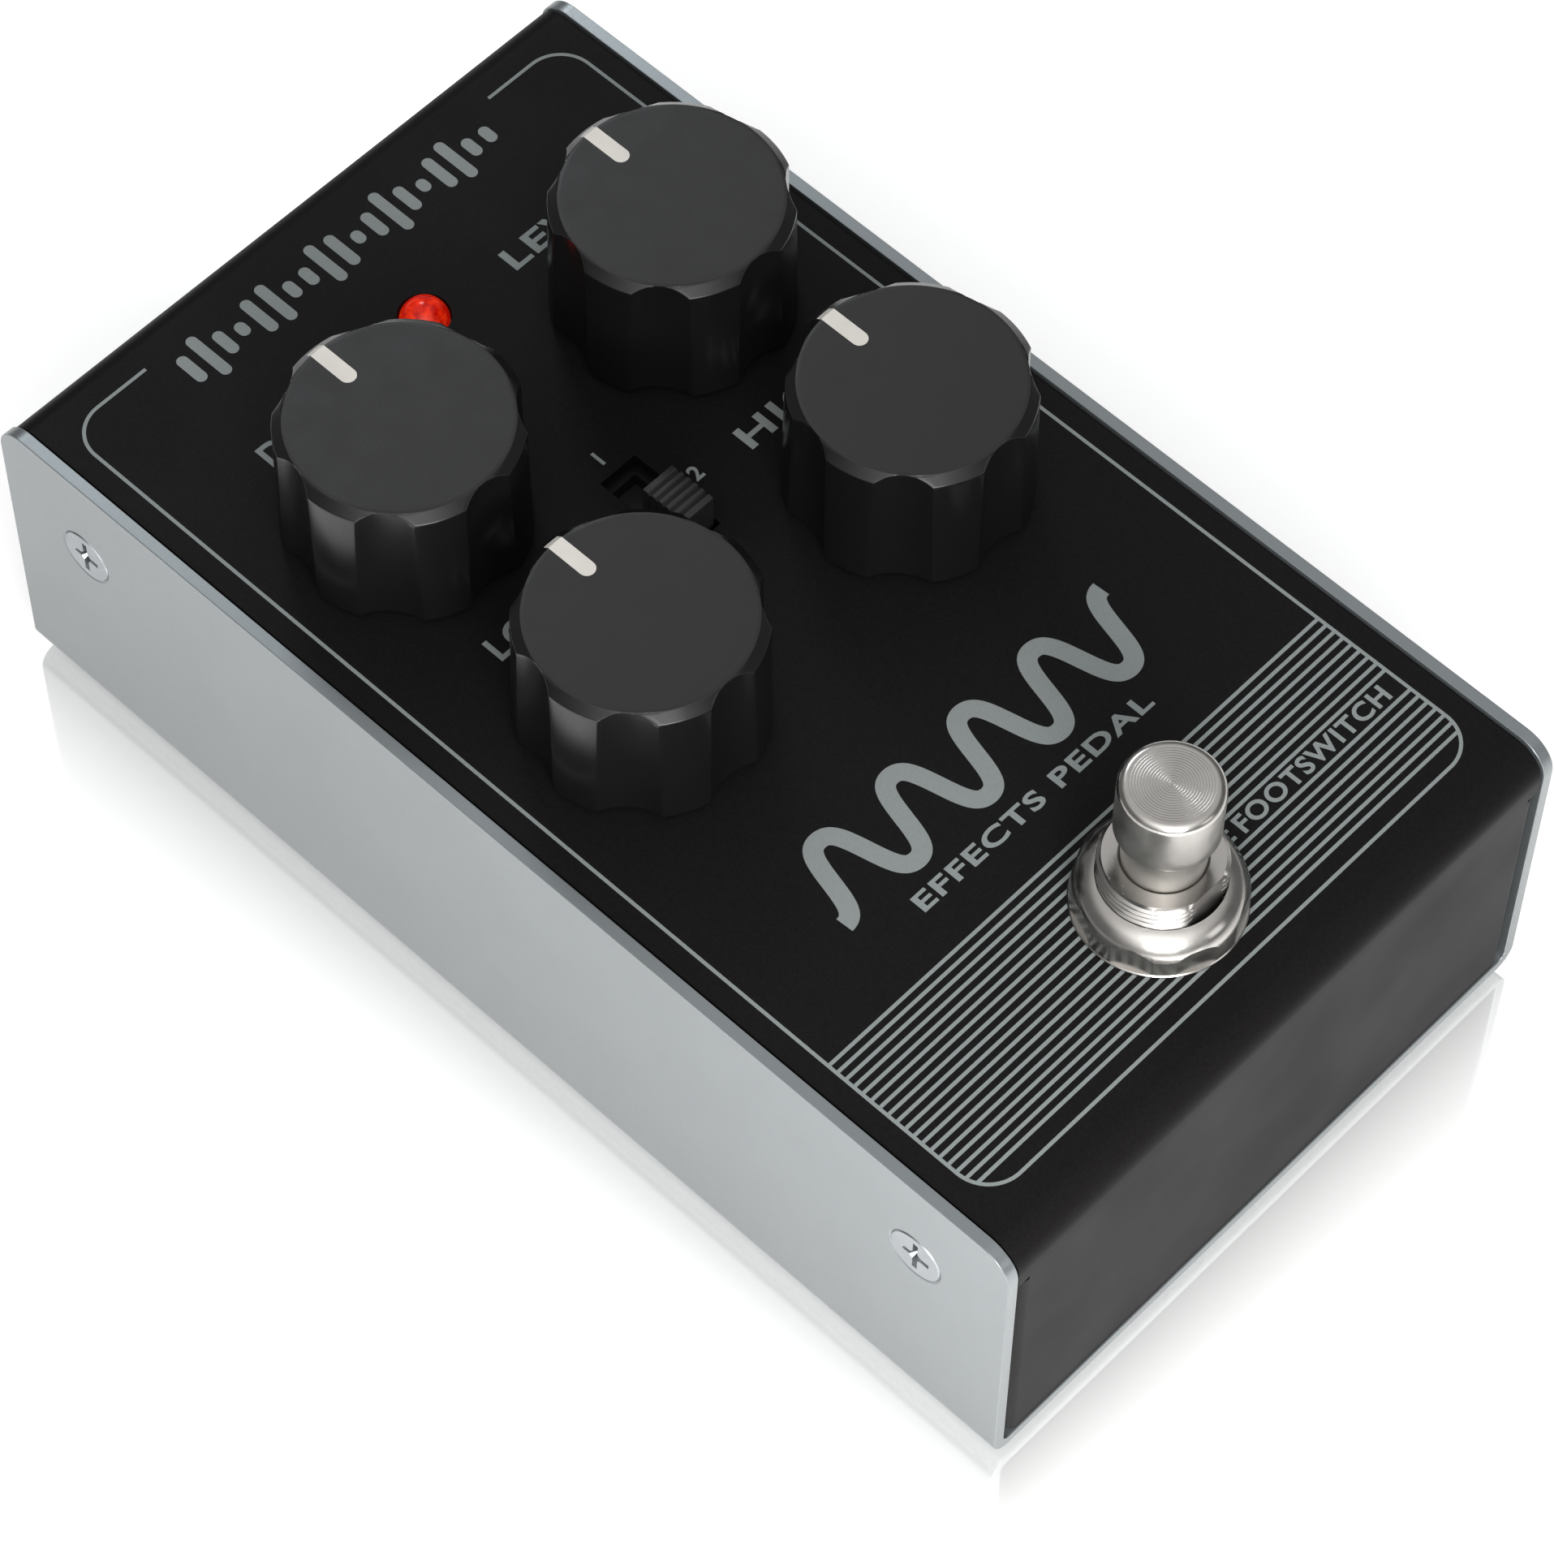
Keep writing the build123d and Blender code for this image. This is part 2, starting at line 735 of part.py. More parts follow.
def footswitch_body():
    """The moulded switch block, with a chamber for the spring and the plunger's rod."""
    half_x = footswitch_body_width / 2 - frame_sheet
    half_y = footswitch_body_length / 2
    body = block(-half_x, half_x, -half_y, half_y, footswitch_body_bottom, footswitch_body_top)
    body -= upright(bushing_bore_radius + chamber_gap, chamber_bottom, footswitch_body_top)
    rod_reach = rod_bottom - plunger_travel - cut_over
    body -= upright(plunger_rod_radius + plunger_fit, rod_reach, chamber_bottom)
    return Pos(0, footswitch_y, 0) * body


def footswitch_frame():
    """The steel strap over the switch block, folded down on both sides."""
    z1 = footswitch_body_top + frame_sheet
    z0 = footswitch_body_top - frame_depth
    half_x = footswitch_body_width / 2
    half_y = footswitch_body_length / 2 - cut_over
    strap = block(-half_x, half_x, -half_y, half_y, z0, z1)
    strap -= block(-half_x + frame_sheet, half_x - frame_sheet, -half_y, half_y, z0, footswitch_body_top)
    strap -= upright(bushing_radius + nut_thread_gap, z0, z1)
    return Pos(0, footswitch_y, 0) * strap


def footswitch_spring():
    """The coil spring between the plunger's shoulder and the chamber's floor."""
    height = shoulder_z - chamber_bottom - spring_wire
    path = Helix(height / spring_turns, height, spring_radius)
    wire = sweep(Plane(path @ 0, z_dir=path % 0) * Circle(spring_wire / 2), path=path, is_frenet=True)
    return Pos(0, footswitch_y, chamber_bottom + spring_wire / 2) * wire


def lug_places():
    """The nine lugs' places under the switch block."""
    for column in (-1, 0, 1):
        for row in (-1, 0, 1):
            yield column * lug_pitch_x, footswitch_y + row * lug_pitch_y


def footswitch_lugs():
    """Nine flat lugs that pass through the small board."""
    return [
        block(
            x - lug_width / 2, x + lug_width / 2, y - lug_thickness / 2, y + lug_thickness / 2,
            footswitch_body_bottom - lug_length, footswitch_body_bottom,
        )
        for x, y in lug_places()
    ]


def footswitch_board():
    """The small board that the lugs are soldered to."""
    half_x = footswitch_body_width / 2
    y0 = footswitch_y - footswitch_body_length / 2
    y1 = footswitch_y + footswitch_body_length / 2 + battery_behind_footswitch / 2
    z0 = footswitch_board_top - footswitch_board_thickness
    board = block(-half_x, half_x, y0, y1, z0, footswitch_board_top)
    for x, y in lug_places():
        long = lug_width / 2 + lead_clearance
        short = lug_thickness / 2 + lead_clearance
        board -= block(x - long, x + long, y - short, y + short, z0 - cut_over, z0 + side_height)
    return board


def footswitch_leads():
    """Five leads from the small board, over the battery, up to the main board."""
    start_y = footswitch_y + footswitch_body_length / 2 + battery_behind_footswitch / 4
    start_z = footswitch_board_top
    level = (battery_top + board_bottom) / 2
    end_y = board_front + lead_landing
    bend = (board_bottom - level) * lead_bend_share
    leads = []
    for index in range(footswitch_lead_count):
        x = (index - (footswitch_lead_count - 1) / 2) * lead_spacing
        points = [(x, start_y, start_z), (x, start_y, level), (x, end_y, level), (x, end_y, board_bottom)]
        leads.append(lead(points, [bend, bend], lead_radius))
    return leads


# ---- main board -------------------------------------------------------------------------------

def pin_hole(pin):
    """A board hole with a little room round one square pin."""
    size = pin.bounding_box().size
    centre = pin.center()
    room = 2 * lead_clearance
    return Pos(centre.X, centre.Y, board_top) * Box(size.X + room, size.Y + room, side_height)


def main_board():
    """The circuit board that carries the controls above and the sockets below."""
    board = block(-board_half, board_half, board_front, board_back, board_bottom, board_top)
    for pin in pot_pins() + slide_switch_pins() + lamp_leads():
        board -= pin_hole(pin)
    return board


def hung(shape_height):
    """Bottom and top levels of a part that hangs under the main board."""
    return board_bottom - lead_clearance - shape_height, board_bottom - lead_clearance


def integrated_circuits():
    """Two dual-in-line amplifiers under the board, one each side of the slide switch."""
    z0, z1 = hung(chip_height)
    y = chip_row_y
    chips = []
    for x in (-chip_spacing / 2, chip_spacing / 2):
        chips.append(block(
            x - chip_width / 2, x + chip_width / 2, y - chip_length / 2, y + chip_length / 2, z0, z1,
        ))
    return chips


def electrolytic_capacitors():
    """Round capacitors in a row under the board."""
    z0, z1 = hung(can_height)
    first = -(can_count - 1) / 2
    return [
        upright(can_radius, z0, z1, (first + index) * can_spacing, can_row_y)
        for index in range(can_count)
    ]


def film_capacitors():
    """Box film capacitors in a row under the board."""
    z0, z1 = hung(film_height)
    y = front_row_y
    half_x = film_length / 2
    half_y = film_width / 2
    capacitors = []
    for index in range(film_count):
        x = (index - (film_count - 1) / 2) * film_spacing
        capacitors.append(block(x - half_x, x + half_x, y - half_y, y + half_y, z0, z1))
    return capacitors


def resistors():
    """Two rows of axial resistors on top of the board."""
    parts = []
    z = board_top + lead_clearance + resistor_radius
    for y in (lamp_y + resistor_row_spacing, lamp_y + 2 * resistor_row_spacing):
        for index in range(resistor_row_count):
            x = (index - (resistor_row_count - 1) / 2) * resistor_spacing
            parts.append(crosswise(resistor_radius, x - resistor_length / 2, x + resistor_length / 2, y, z))
    return parts


# ---- jack sockets -----------------------------------------------------------------------------

jack_nose_end = cover_back + jack_washer_thickness + jack_nut_thickness + jack_nose_past_nut
jack_face = cover_back_inner - pot_seat_gap
jack_back = jack_face - jack_body_depth


def jack_body(x):
    """A moulded socket: threaded nose, collar and an open-sided chamber for the contacts."""
    half_x = jack_body_width / 2
    half_z = jack_body_height / 2
    body = block(x - half_x, x + half_x, jack_back, jack_face, jack_z - half_z, jack_z + half_z)
    chamber_x = half_x - jack_wall
    chamber_z = half_z - jack_wall
    body -= block(
        x - chamber_x, x + chamber_x, jack_back + jack_wall, jack_face - jack_collar_depth,
        jack_z - half_z - cut_over, jack_z + chamber_z,
    )
    body += lying(jack_nose_radius, jack_face - cut_over, jack_nose_end, x, jack_z)
    return body - lying(jack_bore_radius, jack_back + jack_wall, jack_nose_end + cut_over, x, jack_z)


def jack_contacts(x):
    """The tip and sleeve springs, bent strips just clear of the plug."""
    plug = jack_bore_radius + contact_clear
    z_half = contact_width / 2
    tip_x = x + plug
    tip = block(
        tip_x, tip_x + contact_thickness, jack_back + 2 * jack_wall, jack_back + jack_body_depth / 2,
        jack_z - z_half, jack_z + z_half,
    )
    sleeve_y = jack_face - jack_collar_depth - 2 * jack_wall
    sleeve = block(
        x - plug - contact_thickness, x - plug, sleeve_y - jack_body_depth / 4, sleeve_y,
        jack_z - z_half, jack_z + z_half,
    )
    return [tip, sleeve]


def jack_washer(x):
    """The flat washer between a socket's nut and the back of the case."""
    y1 = cover_back + jack_washer_thickness
    washer = lying(jack_washer_radius, cover_back, y1, x, jack_z)
    return washer - lying(jack_nose_radius + nut_thread_gap, cover_back, y1, x, jack_z)


def jack_nut(x):
    """The hexagonal nut on a socket's nose."""
    y0 = cover_back + jack_washer_thickness
    nut = prism(6, jack_nut_flats, 0, jack_nut_thickness)
    nut = chamfer(nut.edges().group_by(Axis.Z)[-1], jack_nose_past_nut)
    nut -= upright(jack_nose_radius + nut_thread_gap, -cut_over, jack_nut_thickness + cut_over)
    return Pos(x, y0, jack_z) * Rot(-90, 0, 0) * nut


# ---- power inlet ------------------------------------------------------------------------------

inlet_mouth = cover_back
inlet_face = cover_back_inner - pot_seat_gap
inlet_floor = inlet_mouth - inlet_bore_depth


def inlet_body():
    """The moulded power inlet, its nose level with the outside of the case."""
    half_x = inlet_width / 2
    half_z = inlet_height / 2
    body = block(-half_x, half_x, inlet_face - inlet_depth, inlet_face, jack_z - half_z, jack_z + half_z)
    body += lying(inlet_nose_radius, inlet_face - cut_over, inlet_mouth, 0, jack_z)
    body -= lying(inlet_bore_radius, inlet_floor, inlet_mouth + cut_over, 0, jack_z)
    return body - lying(inlet_pin_radius + lead_clearance, inlet_floor - 2 * cut_over, inlet_floor, 0, jack_z)


def inlet_pin():
    """The centre pin, a little short of the mouth."""
    pin = lying(inlet_pin_radius, inlet_floor - 2 * cut_over, inlet_mouth - inlet_pin_short, 0, jack_z)
    return chamfer(pin.edges().group_by(Axis.Y)[-1], inlet_pin_radius / 3)


# ---- battery ----------------------------------------------------------------------------------

battery_x0 = -battery_length / 2 + terminal_height
battery_x1 = battery_x0 + battery_length
battery_z = (battery_bottom + battery_top) / 2
snap_x1 = battery_x0 - lead_clearance
snap_x0 = snap_x1 - terminal_height - snap_thickness


def battery():
    """A block battery with two snap terminals on its left end."""
    cell = block(battery_x0, battery_x1, battery_front, battery_back, battery_bottom, battery_top)
    cell = fillet(cell.edges().filter_by(Axis.X), battery_edge_radius)
    for y in (battery_y - terminal_spacing / 2, battery_y + terminal_spacing / 2):
        cell += crosswise(terminal_radius, battery_x0 - terminal_height, battery_x0 + cut_over, y, battery_z)
    return cell


def battery_snap():
    """The connector that presses onto both terminals."""
    half_y = terminal_spacing / 2 + 2 * terminal_radius
    half_z = 2 * terminal_radius
    y0 = battery_y - half_y
    y1 = battery_y + half_y
    snap = block(snap_x0, snap_x1, y0, y1, battery_z - half_z, battery_z + half_z)
    snap = fillet(snap.edges().filter_by(Axis.X), battery_edge_radius)
    for y in (battery_y - terminal_spacing / 2, battery_y + terminal_spacing / 2):
        room = terminal_radius + lead_clearance
        snap -= crosswise(room, snap_x1 - terminal_height - lead_clearance, snap_x1 + cut_over, y, battery_z)
    return snap


def battery_pad():
    """The foam strip that the battery lies on."""
    inset = battery_edge_radius
    return block(
        battery_x0 + inset, battery_x1 - inset, battery_front + inset, battery_back - inset,
        base_top, battery_bottom,
    )


def battery_lead(offset):
    """One lead from the top of the snap connector up to the underside of the main board."""
    x = (snap_x0 + snap_x1) / 2 + offset
    y = battery_y
    snap_top = battery_z + 2 * terminal_radius
    level = (battery_top + board_bottom) / 2
    end_y = board_front + lead_landing
    points = [(x, y, snap_top), (x, y, level), (x, end_y, level), (x, end_y, board_bottom)]
    bend = (board_bottom - level) * lead_bend_share
    return lead(points, [bend, bend], lead_radius)


# ---- write every sub-part ---------------------------------------------------------------------

def at_knob(shape, name):
    """A shape moved from the axis x = y = 0 to a named knob's axis."""
    x, y = KNOBS[name]
    return Pos(x, y, 0) * shape


def main():
    """Build every sub-part and write it under its node's name."""
    os.makedirs("parts", exist_ok=True)
    save(base_chassis(), "base_chassis")
    save(top_cover(), "top_cover")
    save([case_screw(side, y) for side, y in screw_places()], "case_screws")
    save(rubber_feet(), "rubber_feet")

    knob_shape = knob()
    pointer_shape = knob_pointer_space() & knob_blank()
    for name in KNOBS:
        save(at_knob(knob_shape, name), "knob_" + name)
        save(at_knob(pointer_shape, name), "pointer_" + name)
        save(at_knob(pot_shaft(), name), "shaft_" + name)
        save(at_knob(pot_housing(), name), "pot_" + name)
    save([at_knob(pot_washer(), name) for name in KNOBS], "pot_washers")
    save([at_knob(pot_nut(), name) for name in KNOBS], "pot_nuts")
    save(pot_pins(), "pot_pins")

    save(slide_switch_body(), "slide_switch_body")
    save(slide_switch_knob(), "slide_switch_knob")
    save(slide_switch_pins(), "slide_switch_pins")
    save(lamp(), "lamp_lens")
    save(lamp_spacer(), "lamp_spacer")
    save(lamp_leads(), "lamp_leads")

    save(footswitch_plunger(), "footswitch_plunger")
    save(footswitch_bushing(), "footswitch_bushing")
    save(dress_washer(), "footswitch_washer")
    save(dress_nut(), "footswitch_nut")
    save(lock_washer(), "footswitch_lock_washer")
    save(lock_nut(), "footswitch_lock_nut")
    save(footswitch_body(), "footswitch_body")
    save(footswitch_frame(), "footswitch_frame")
    save(footswitch_spring(), "footswitch_spring")
    save(footswitch_lugs(), "footswitch_lugs")
    save(footswitch_board(), "footswitch_board")
    save(footswitch_leads(), "footswitch_leads")

    save(main_board(), "main_board")
    save(integrated_circuits(), "integrated_circuits")
    save(electrolytic_capacitors(), "electrolytic_capacitors")
    save(film_capacitors(), "film_capacitors")
    save(resistors(), "resistors")

    for name, x in JACKS.items():
        save(jack_body(x), name + "_jack_body")
        save(jack_contacts(x), name + "_jack_contacts")
    save([jack_washer(x) for x in JACKS.values()], "jack_washers")
    save([jack_nut(x) for x in JACKS.values()], "jack_nuts")
    save(inlet_body(), "power_inlet_body")
    save(inlet_pin(), "power_inlet_pin")

    save(battery(), "battery")
    save(battery_snap(), "battery_snap")
    save(battery_pad(), "battery_pad")
    save(battery_lead(-lead_spacing / 2), "battery_lead_red")
    save(battery_lead(lead_spacing / 2), "battery_lead_black")


main()
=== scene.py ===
"""Shapes and finishes of a guitar effects pedal, built round its CAD frame.

Own meshes are made in millimetres and brought to metres when they become pieces. +Z is up, +X is
the player's right and +Y points from the footswitch to the sockets.
"""

import json
import logging
import math
from dataclasses import dataclass
from enum import Enum
from typing import Any, Optional, Sequence, Union

import bmesh
import bpy
from mathutils import Matrix, Vector


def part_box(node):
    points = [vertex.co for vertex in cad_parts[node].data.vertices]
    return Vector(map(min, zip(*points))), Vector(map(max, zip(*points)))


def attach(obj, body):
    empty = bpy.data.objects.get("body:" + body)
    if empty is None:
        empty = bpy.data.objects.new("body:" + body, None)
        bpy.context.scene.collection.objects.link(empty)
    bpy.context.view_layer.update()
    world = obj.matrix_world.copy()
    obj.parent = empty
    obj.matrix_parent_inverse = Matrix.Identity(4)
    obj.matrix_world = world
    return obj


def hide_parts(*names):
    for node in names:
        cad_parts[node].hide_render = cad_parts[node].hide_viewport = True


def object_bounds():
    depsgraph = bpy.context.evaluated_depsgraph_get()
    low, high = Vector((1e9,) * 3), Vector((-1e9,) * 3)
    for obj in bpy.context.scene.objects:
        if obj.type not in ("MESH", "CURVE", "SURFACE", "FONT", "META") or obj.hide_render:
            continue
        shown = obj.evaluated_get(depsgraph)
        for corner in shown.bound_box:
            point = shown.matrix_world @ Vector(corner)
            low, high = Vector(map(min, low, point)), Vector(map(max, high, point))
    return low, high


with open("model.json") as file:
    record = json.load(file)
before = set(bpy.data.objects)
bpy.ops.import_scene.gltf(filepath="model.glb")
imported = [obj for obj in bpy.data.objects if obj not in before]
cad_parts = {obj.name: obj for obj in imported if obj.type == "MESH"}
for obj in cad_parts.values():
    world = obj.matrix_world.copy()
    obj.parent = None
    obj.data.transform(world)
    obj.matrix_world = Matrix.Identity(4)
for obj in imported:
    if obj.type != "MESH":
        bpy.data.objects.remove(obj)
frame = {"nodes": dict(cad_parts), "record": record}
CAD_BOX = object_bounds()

log = logging.getLogger("pedal")

MM = 0.001
WHITE = (1.0, 1.0, 1.0)
Number = Union[int, float]
Pair = tuple[float, float]
Point = tuple[float, float, float]
Colour = tuple[float, float, float]


def display_colour(red: int, green: int, blue: int) -> Colour:
    """The linear colour of an 8-bit display colour.

    Args:
        red, green, blue: Levels from 0 to 255.

    Returns:
        The three linear levels.
    """
    def linear(level: float) -> float:
        """One level, made linear."""
        share = level / 255
        return share / 12.92 if share <= 0.04045 else ((share + 0.055) / 1.055) ** 2.4

    return (linear(red), linear(green), linear(blue))


# ---- node trees -------------------------------------------------------------------------------


@dataclass(frozen=True)
class Field:
    """One value in a node tree, with arithmetic that adds the nodes for it."""

    graph: "Graph"
    socket: bpy.types.NodeSocket

    def __add__(self, other: "Value") -> "Field":
        """The sum."""
        return self.graph.math("ADD", self, other)

    def __radd__(self, other: "Value") -> "Field":
        """The sum, with the field second."""
        return self.graph.math("ADD", other, self)

    def __sub__(self, other: "Value") -> "Field":
        """The difference."""
        return self.graph.math("SUBTRACT", self, other)

    def __rsub__(self, other: "Value") -> "Field":
        """The difference, with the field second."""
        return self.graph.math("SUBTRACT", other, self)

    def __mul__(self, other: "Value") -> "Field":
        """The product."""
        return self.graph.math("MULTIPLY", self, other)

    def __rmul__(self, other: "Value") -> "Field":
        """The product, with the field second."""
        return self.graph.math("MULTIPLY", other, self)

    def __truediv__(self, other: "Value") -> "Field":
        """The quotient."""
        return self.graph.math("DIVIDE", self, other)

    def __rtruediv__(self, other: "Value") -> "Field":
        """The quotient, with the field below."""
        return self.graph.math("DIVIDE", other, self)

    def __neg__(self) -> "Field":
        """The field with its sign turned."""
        return self.graph.math("MULTIPLY", self, -1.0)

    def of(self, operation: str, *others: "Value") -> "Field":
        """The result of any other maths operation on this field."""
        return self.graph.math(operation, self, *others)

    def clamped(self, low: float, high: float) -> "Field":
        """The field held between two limits."""
        return self.of("MAXIMUM", low).of("MINIMUM", high)


Value = Union[Field, int, float]
Inputs = dict[Any, Any]


class Graph:
    """Short ways to add nodes to one node tree, for shapes and for finishes alike."""

    def __init__(self, tree: bpy.types.NodeTree) -> None:
        """Starts on a tree.

        Args:
            tree: The tree that the nodes go into.
        """
        self.tree = tree

    def plug(self, socket: bpy.types.NodeSocket, value: Any) -> None:
        """Links a field or a socket to an input, or sets the input's own value."""
        if isinstance(value, Field):
            value = value.socket
        if isinstance(value, bpy.types.NodeSocket):
            self.tree.links.new(value, socket)
        else:
            socket.default_value = value

    def add(self, kind: str, inputs: Optional[Inputs] = None, **settings: Any) -> bpy.types.Node:
        """Adds one node.

        Args:
            kind: The node's type.
            inputs: Values or links for its inputs, by name or number.
            settings: The node's own properties.

        Returns:
            The new node.
        """
        node = self.tree.nodes.new(kind)
        for name, value in settings.items():
            setattr(node, name, value)
        for name, value in (inputs or {}).items():
            self.plug(node.inputs[name], value)
        return node

    def field(self, kind: str, output: Any, inputs: Optional[Inputs] = None, **settings: Any) -> Field:
        """Adds one node and returns one of its outputs as a field.

        Args:
            kind: The node's type.
            output: The output's name or number.
            inputs: Values or links for its inputs, by name or number.
            settings: The node's own properties.

        Returns:
            The output.
        """
        return Field(self, self.add(kind, inputs, **settings).outputs[output])

    def math(self, operation: str, *values: Value) -> Field:
        """The result of a maths node."""
        return self.field("ShaderNodeMath", 0, dict(enumerate(values)), operation=operation)

    def choose(self, condition: Field, yes: Field, no: Field) -> Field:
        """One of two values, by a condition that is 0 or 1."""
        return (yes - no) * condition + no

    def vector(self, x: Value, y: Value, z: Value) -> Field:
        """A vector from its three parts."""
        return self.field("ShaderNodeCombineXYZ", 0, {0: x, 1: y, 2: z})

    def parts(self, vector: Field) -> tuple[Field, Field, Field]:
        """The three parts of a vector."""
        node = self.add("ShaderNodeSeparateXYZ", {0: vector})
        return tuple(Field(self, node.outputs[i]) for i in range(3))


# ---- finishes ---------------------------------------------------------------------------------


class ShaderGraph(Graph):
    """The node tree of one material, with its surface node and the patterns that finishes share."""

    def __init__(self, name: str) -> None:
        """Makes an empty material.

        Args:
            name: The material's name.
        """
        self.material = bpy.data.materials.new(name)
        self.material.use_nodes = True
        super().__init__(self.material.node_tree)
        self.tree.nodes.clear()
        self.surface = self.add("ShaderNodeBsdfPrincipled")
        self.add("ShaderNodeOutputMaterial", {"Surface": self.surface.outputs["BSDF"]})

    def set(self, **inputs: Any) -> None:
        """Sets or links inputs of the surface, with _ for a space in their names."""
        for name, value in inputs.items():
            if isinstance(value, tuple) and len(value) == 3:
                value = (*value, 1.0)
            self.plug(self.surface.inputs[name.replace("_", " ")], value)

    def place(self, centre: Point = (0.0, 0.0, 0.0), stretch: Point = (1.0, 1.0, 1.0)) -> Field:
        """The place on the piece in millimetres.

        Args:
            centre: Where it is counted from.
            stretch: What each axis is multiplied by.

        Returns:
            The place as a vector.
        """
        where = self.field("ShaderNodeTexCoord", "Object")
        scale = tuple(s / MM for s in stretch)
        shift = tuple(-c * s for c, s in zip(centre, stretch))
        return self.field("ShaderNodeMapping", 0, {"Vector": where, "Scale": scale, "Location": shift})

    def noise(
        self, size: float, detail: float = 2.0, where: Optional[Field] = None, rough: float = 0.5,
    ) -> Field:
        """A soft random pattern from 0 to 1.

        Args:
            size: About how wide its lumps are, in millimetres.
            detail: How many finer layers it has.
            where: The place to read it at, or none for the place on the piece.
            rough: How strong the finer layers are.

        Returns:
            The pattern.
        """
        inputs = {
            "Vector": where or self.place(), "Scale": 1.0 / size, "Detail": detail, "Roughness": rough,
        }
        return self.field("ShaderNodeTexNoise", "Fac", inputs)

    def cells(self, size: float) -> Field:
        """The distance to the nearest of many scattered points, size millimetres apart."""
        inputs = {"Vector": self.place(), "Scale": 1.0 / size}
        return self.field("ShaderNodeTexVoronoi", "Distance", inputs)

    def spread(
        self, value: Field, low: float, high: float, start: float = 0.0, end: float = 1.0,
    ) -> Field:
        """A value brought from one range to another, and held there.

        Args:
            value: The value.
            low, high: The range that it is brought to.
            start, end: The range that it is brought from.

        Returns:
            The new value.
        """
        inputs = {"Value": value, "From Min": start, "From Max": end, "To Min": low, "To Max": high}
        return self.field("ShaderNodeMapRange", "Result", inputs)

    def blend(self, share: Field, first: Colour, second: Colour) -> Field:
        """A colour between two.

        Args:
            share: 0 for the first colour, 1 for the second.
            first, second: The two colours.

        Returns:
            The colour.
        """
        node = self.add("ShaderNodeMix", {0: share}, data_type="RGBA")
        for number, colour in ((6, first), (7, second)):
            node.inputs[number].default_value = (*colour, 1.0)
        return Field(self, node.outputs[2])

    def relief(self, height: Field, depth: float, strength: float = 1.0) -> Field:
        """A surface direction that shows a height pattern depth millimetres deep."""
        inputs = {"Height": height, "Distance": depth * MM, "Strength": strength}
        return self.field("ShaderNodeBump", "Normal", inputs)


def darker(colour: Colour, share: float) -> Colour:
    """A colour with each level times a share."""
    return tuple(level * share for level in colour)


@dataclass(frozen=True)
class Finish:
    """A finish that pieces are dressed in. The slot is its name in the record."""

    slot: str
    colour: Colour = (0.5, 0.5, 0.5)
    roughness: float = 0.5

    def paint(self, graph: ShaderGraph) -> None:
        """Adds the finish's nodes to a new material.

        Args:
            graph: The material's tree.
        """
        raise NotImplementedError

    def mottled(
        self, graph: ShaderGraph, pattern: Field, low: float, high: float,
        start: float = 0.3, end: float = 0.7,
    ) -> Field:
        """The finish's colour, darker or lighter with a pattern.

        Args:
            graph: The material's tree.
            pattern: A pattern from 0 to 1.
            low: The colour's share where the pattern is at or under start.
            high: The colour's share where the pattern is at or over end.
            start, end: The part of the pattern that shows.

        Returns:
            The colour.
        """
        share = graph.spread(pattern, 0.0, 1.0, start, end)
        return graph.blend(share, darker(self.colour, low), darker(self.colour, high))

    def material(self) -> bpy.types.Material:
        """The finish's material, made the first time it is asked for."""
        known = bpy.data.materials.get(self.slot + "_finish")
        if known:
            return known
        graph = ShaderGraph(self.slot + "_finish")
        self.paint(graph)
        return graph.material


@dataclass(frozen=True)
class PowderCoat(Finish):
    """Fine-textured baked powder on sheet steel."""

    grain: float = 0.28
    grain_depth: float = 0.012
    cloud: float = 14.0
    specular: float = 0.045

    def paint(self, graph: ShaderGraph) -> None:
        """Even dark coat, finely pebbled, with a faint change of sheen over the sheet."""
        fine = graph.noise(self.grain, 3.0)
        broad = graph.noise(self.cloud, 2.0)
        graph.set(
            Base_Color=self.mottled(graph, fine, 0.85, 1.12, 0.35, 0.65),
            Roughness=graph.spread(broad, self.roughness - 0.04, self.roughness + 0.05, 0.3, 0.7),
            Specular_IOR_Level=self.specular,
            Normal=graph.relief(fine, self.grain_depth),
        )


@dataclass(frozen=True)
class SatinSheet(Finish):
    """Silver sheet with a fine satin coat."""

    flake: float = 0.16
    cloud: float = 9.0
    metal: float = 0.75

    def paint(self, graph: ShaderGraph) -> None:
        """Metal flake under a thin satin coat, with hardly visible clouds."""
        flake = graph.noise(self.flake, 2.0)
        cloud = graph.noise(self.cloud, 3.0)
        graph.set(
            Base_Color=self.mottled(graph, cloud, 0.975, 1.02),
            Metallic=self.metal,
            Roughness=graph.spread(flake, self.roughness - 0.03, self.roughness + 0.04, 0.3, 0.7),
            Normal=graph.relief(flake, 0.004),
            Coat_Weight=0.15,
            Coat_Roughness=0.3,
        )


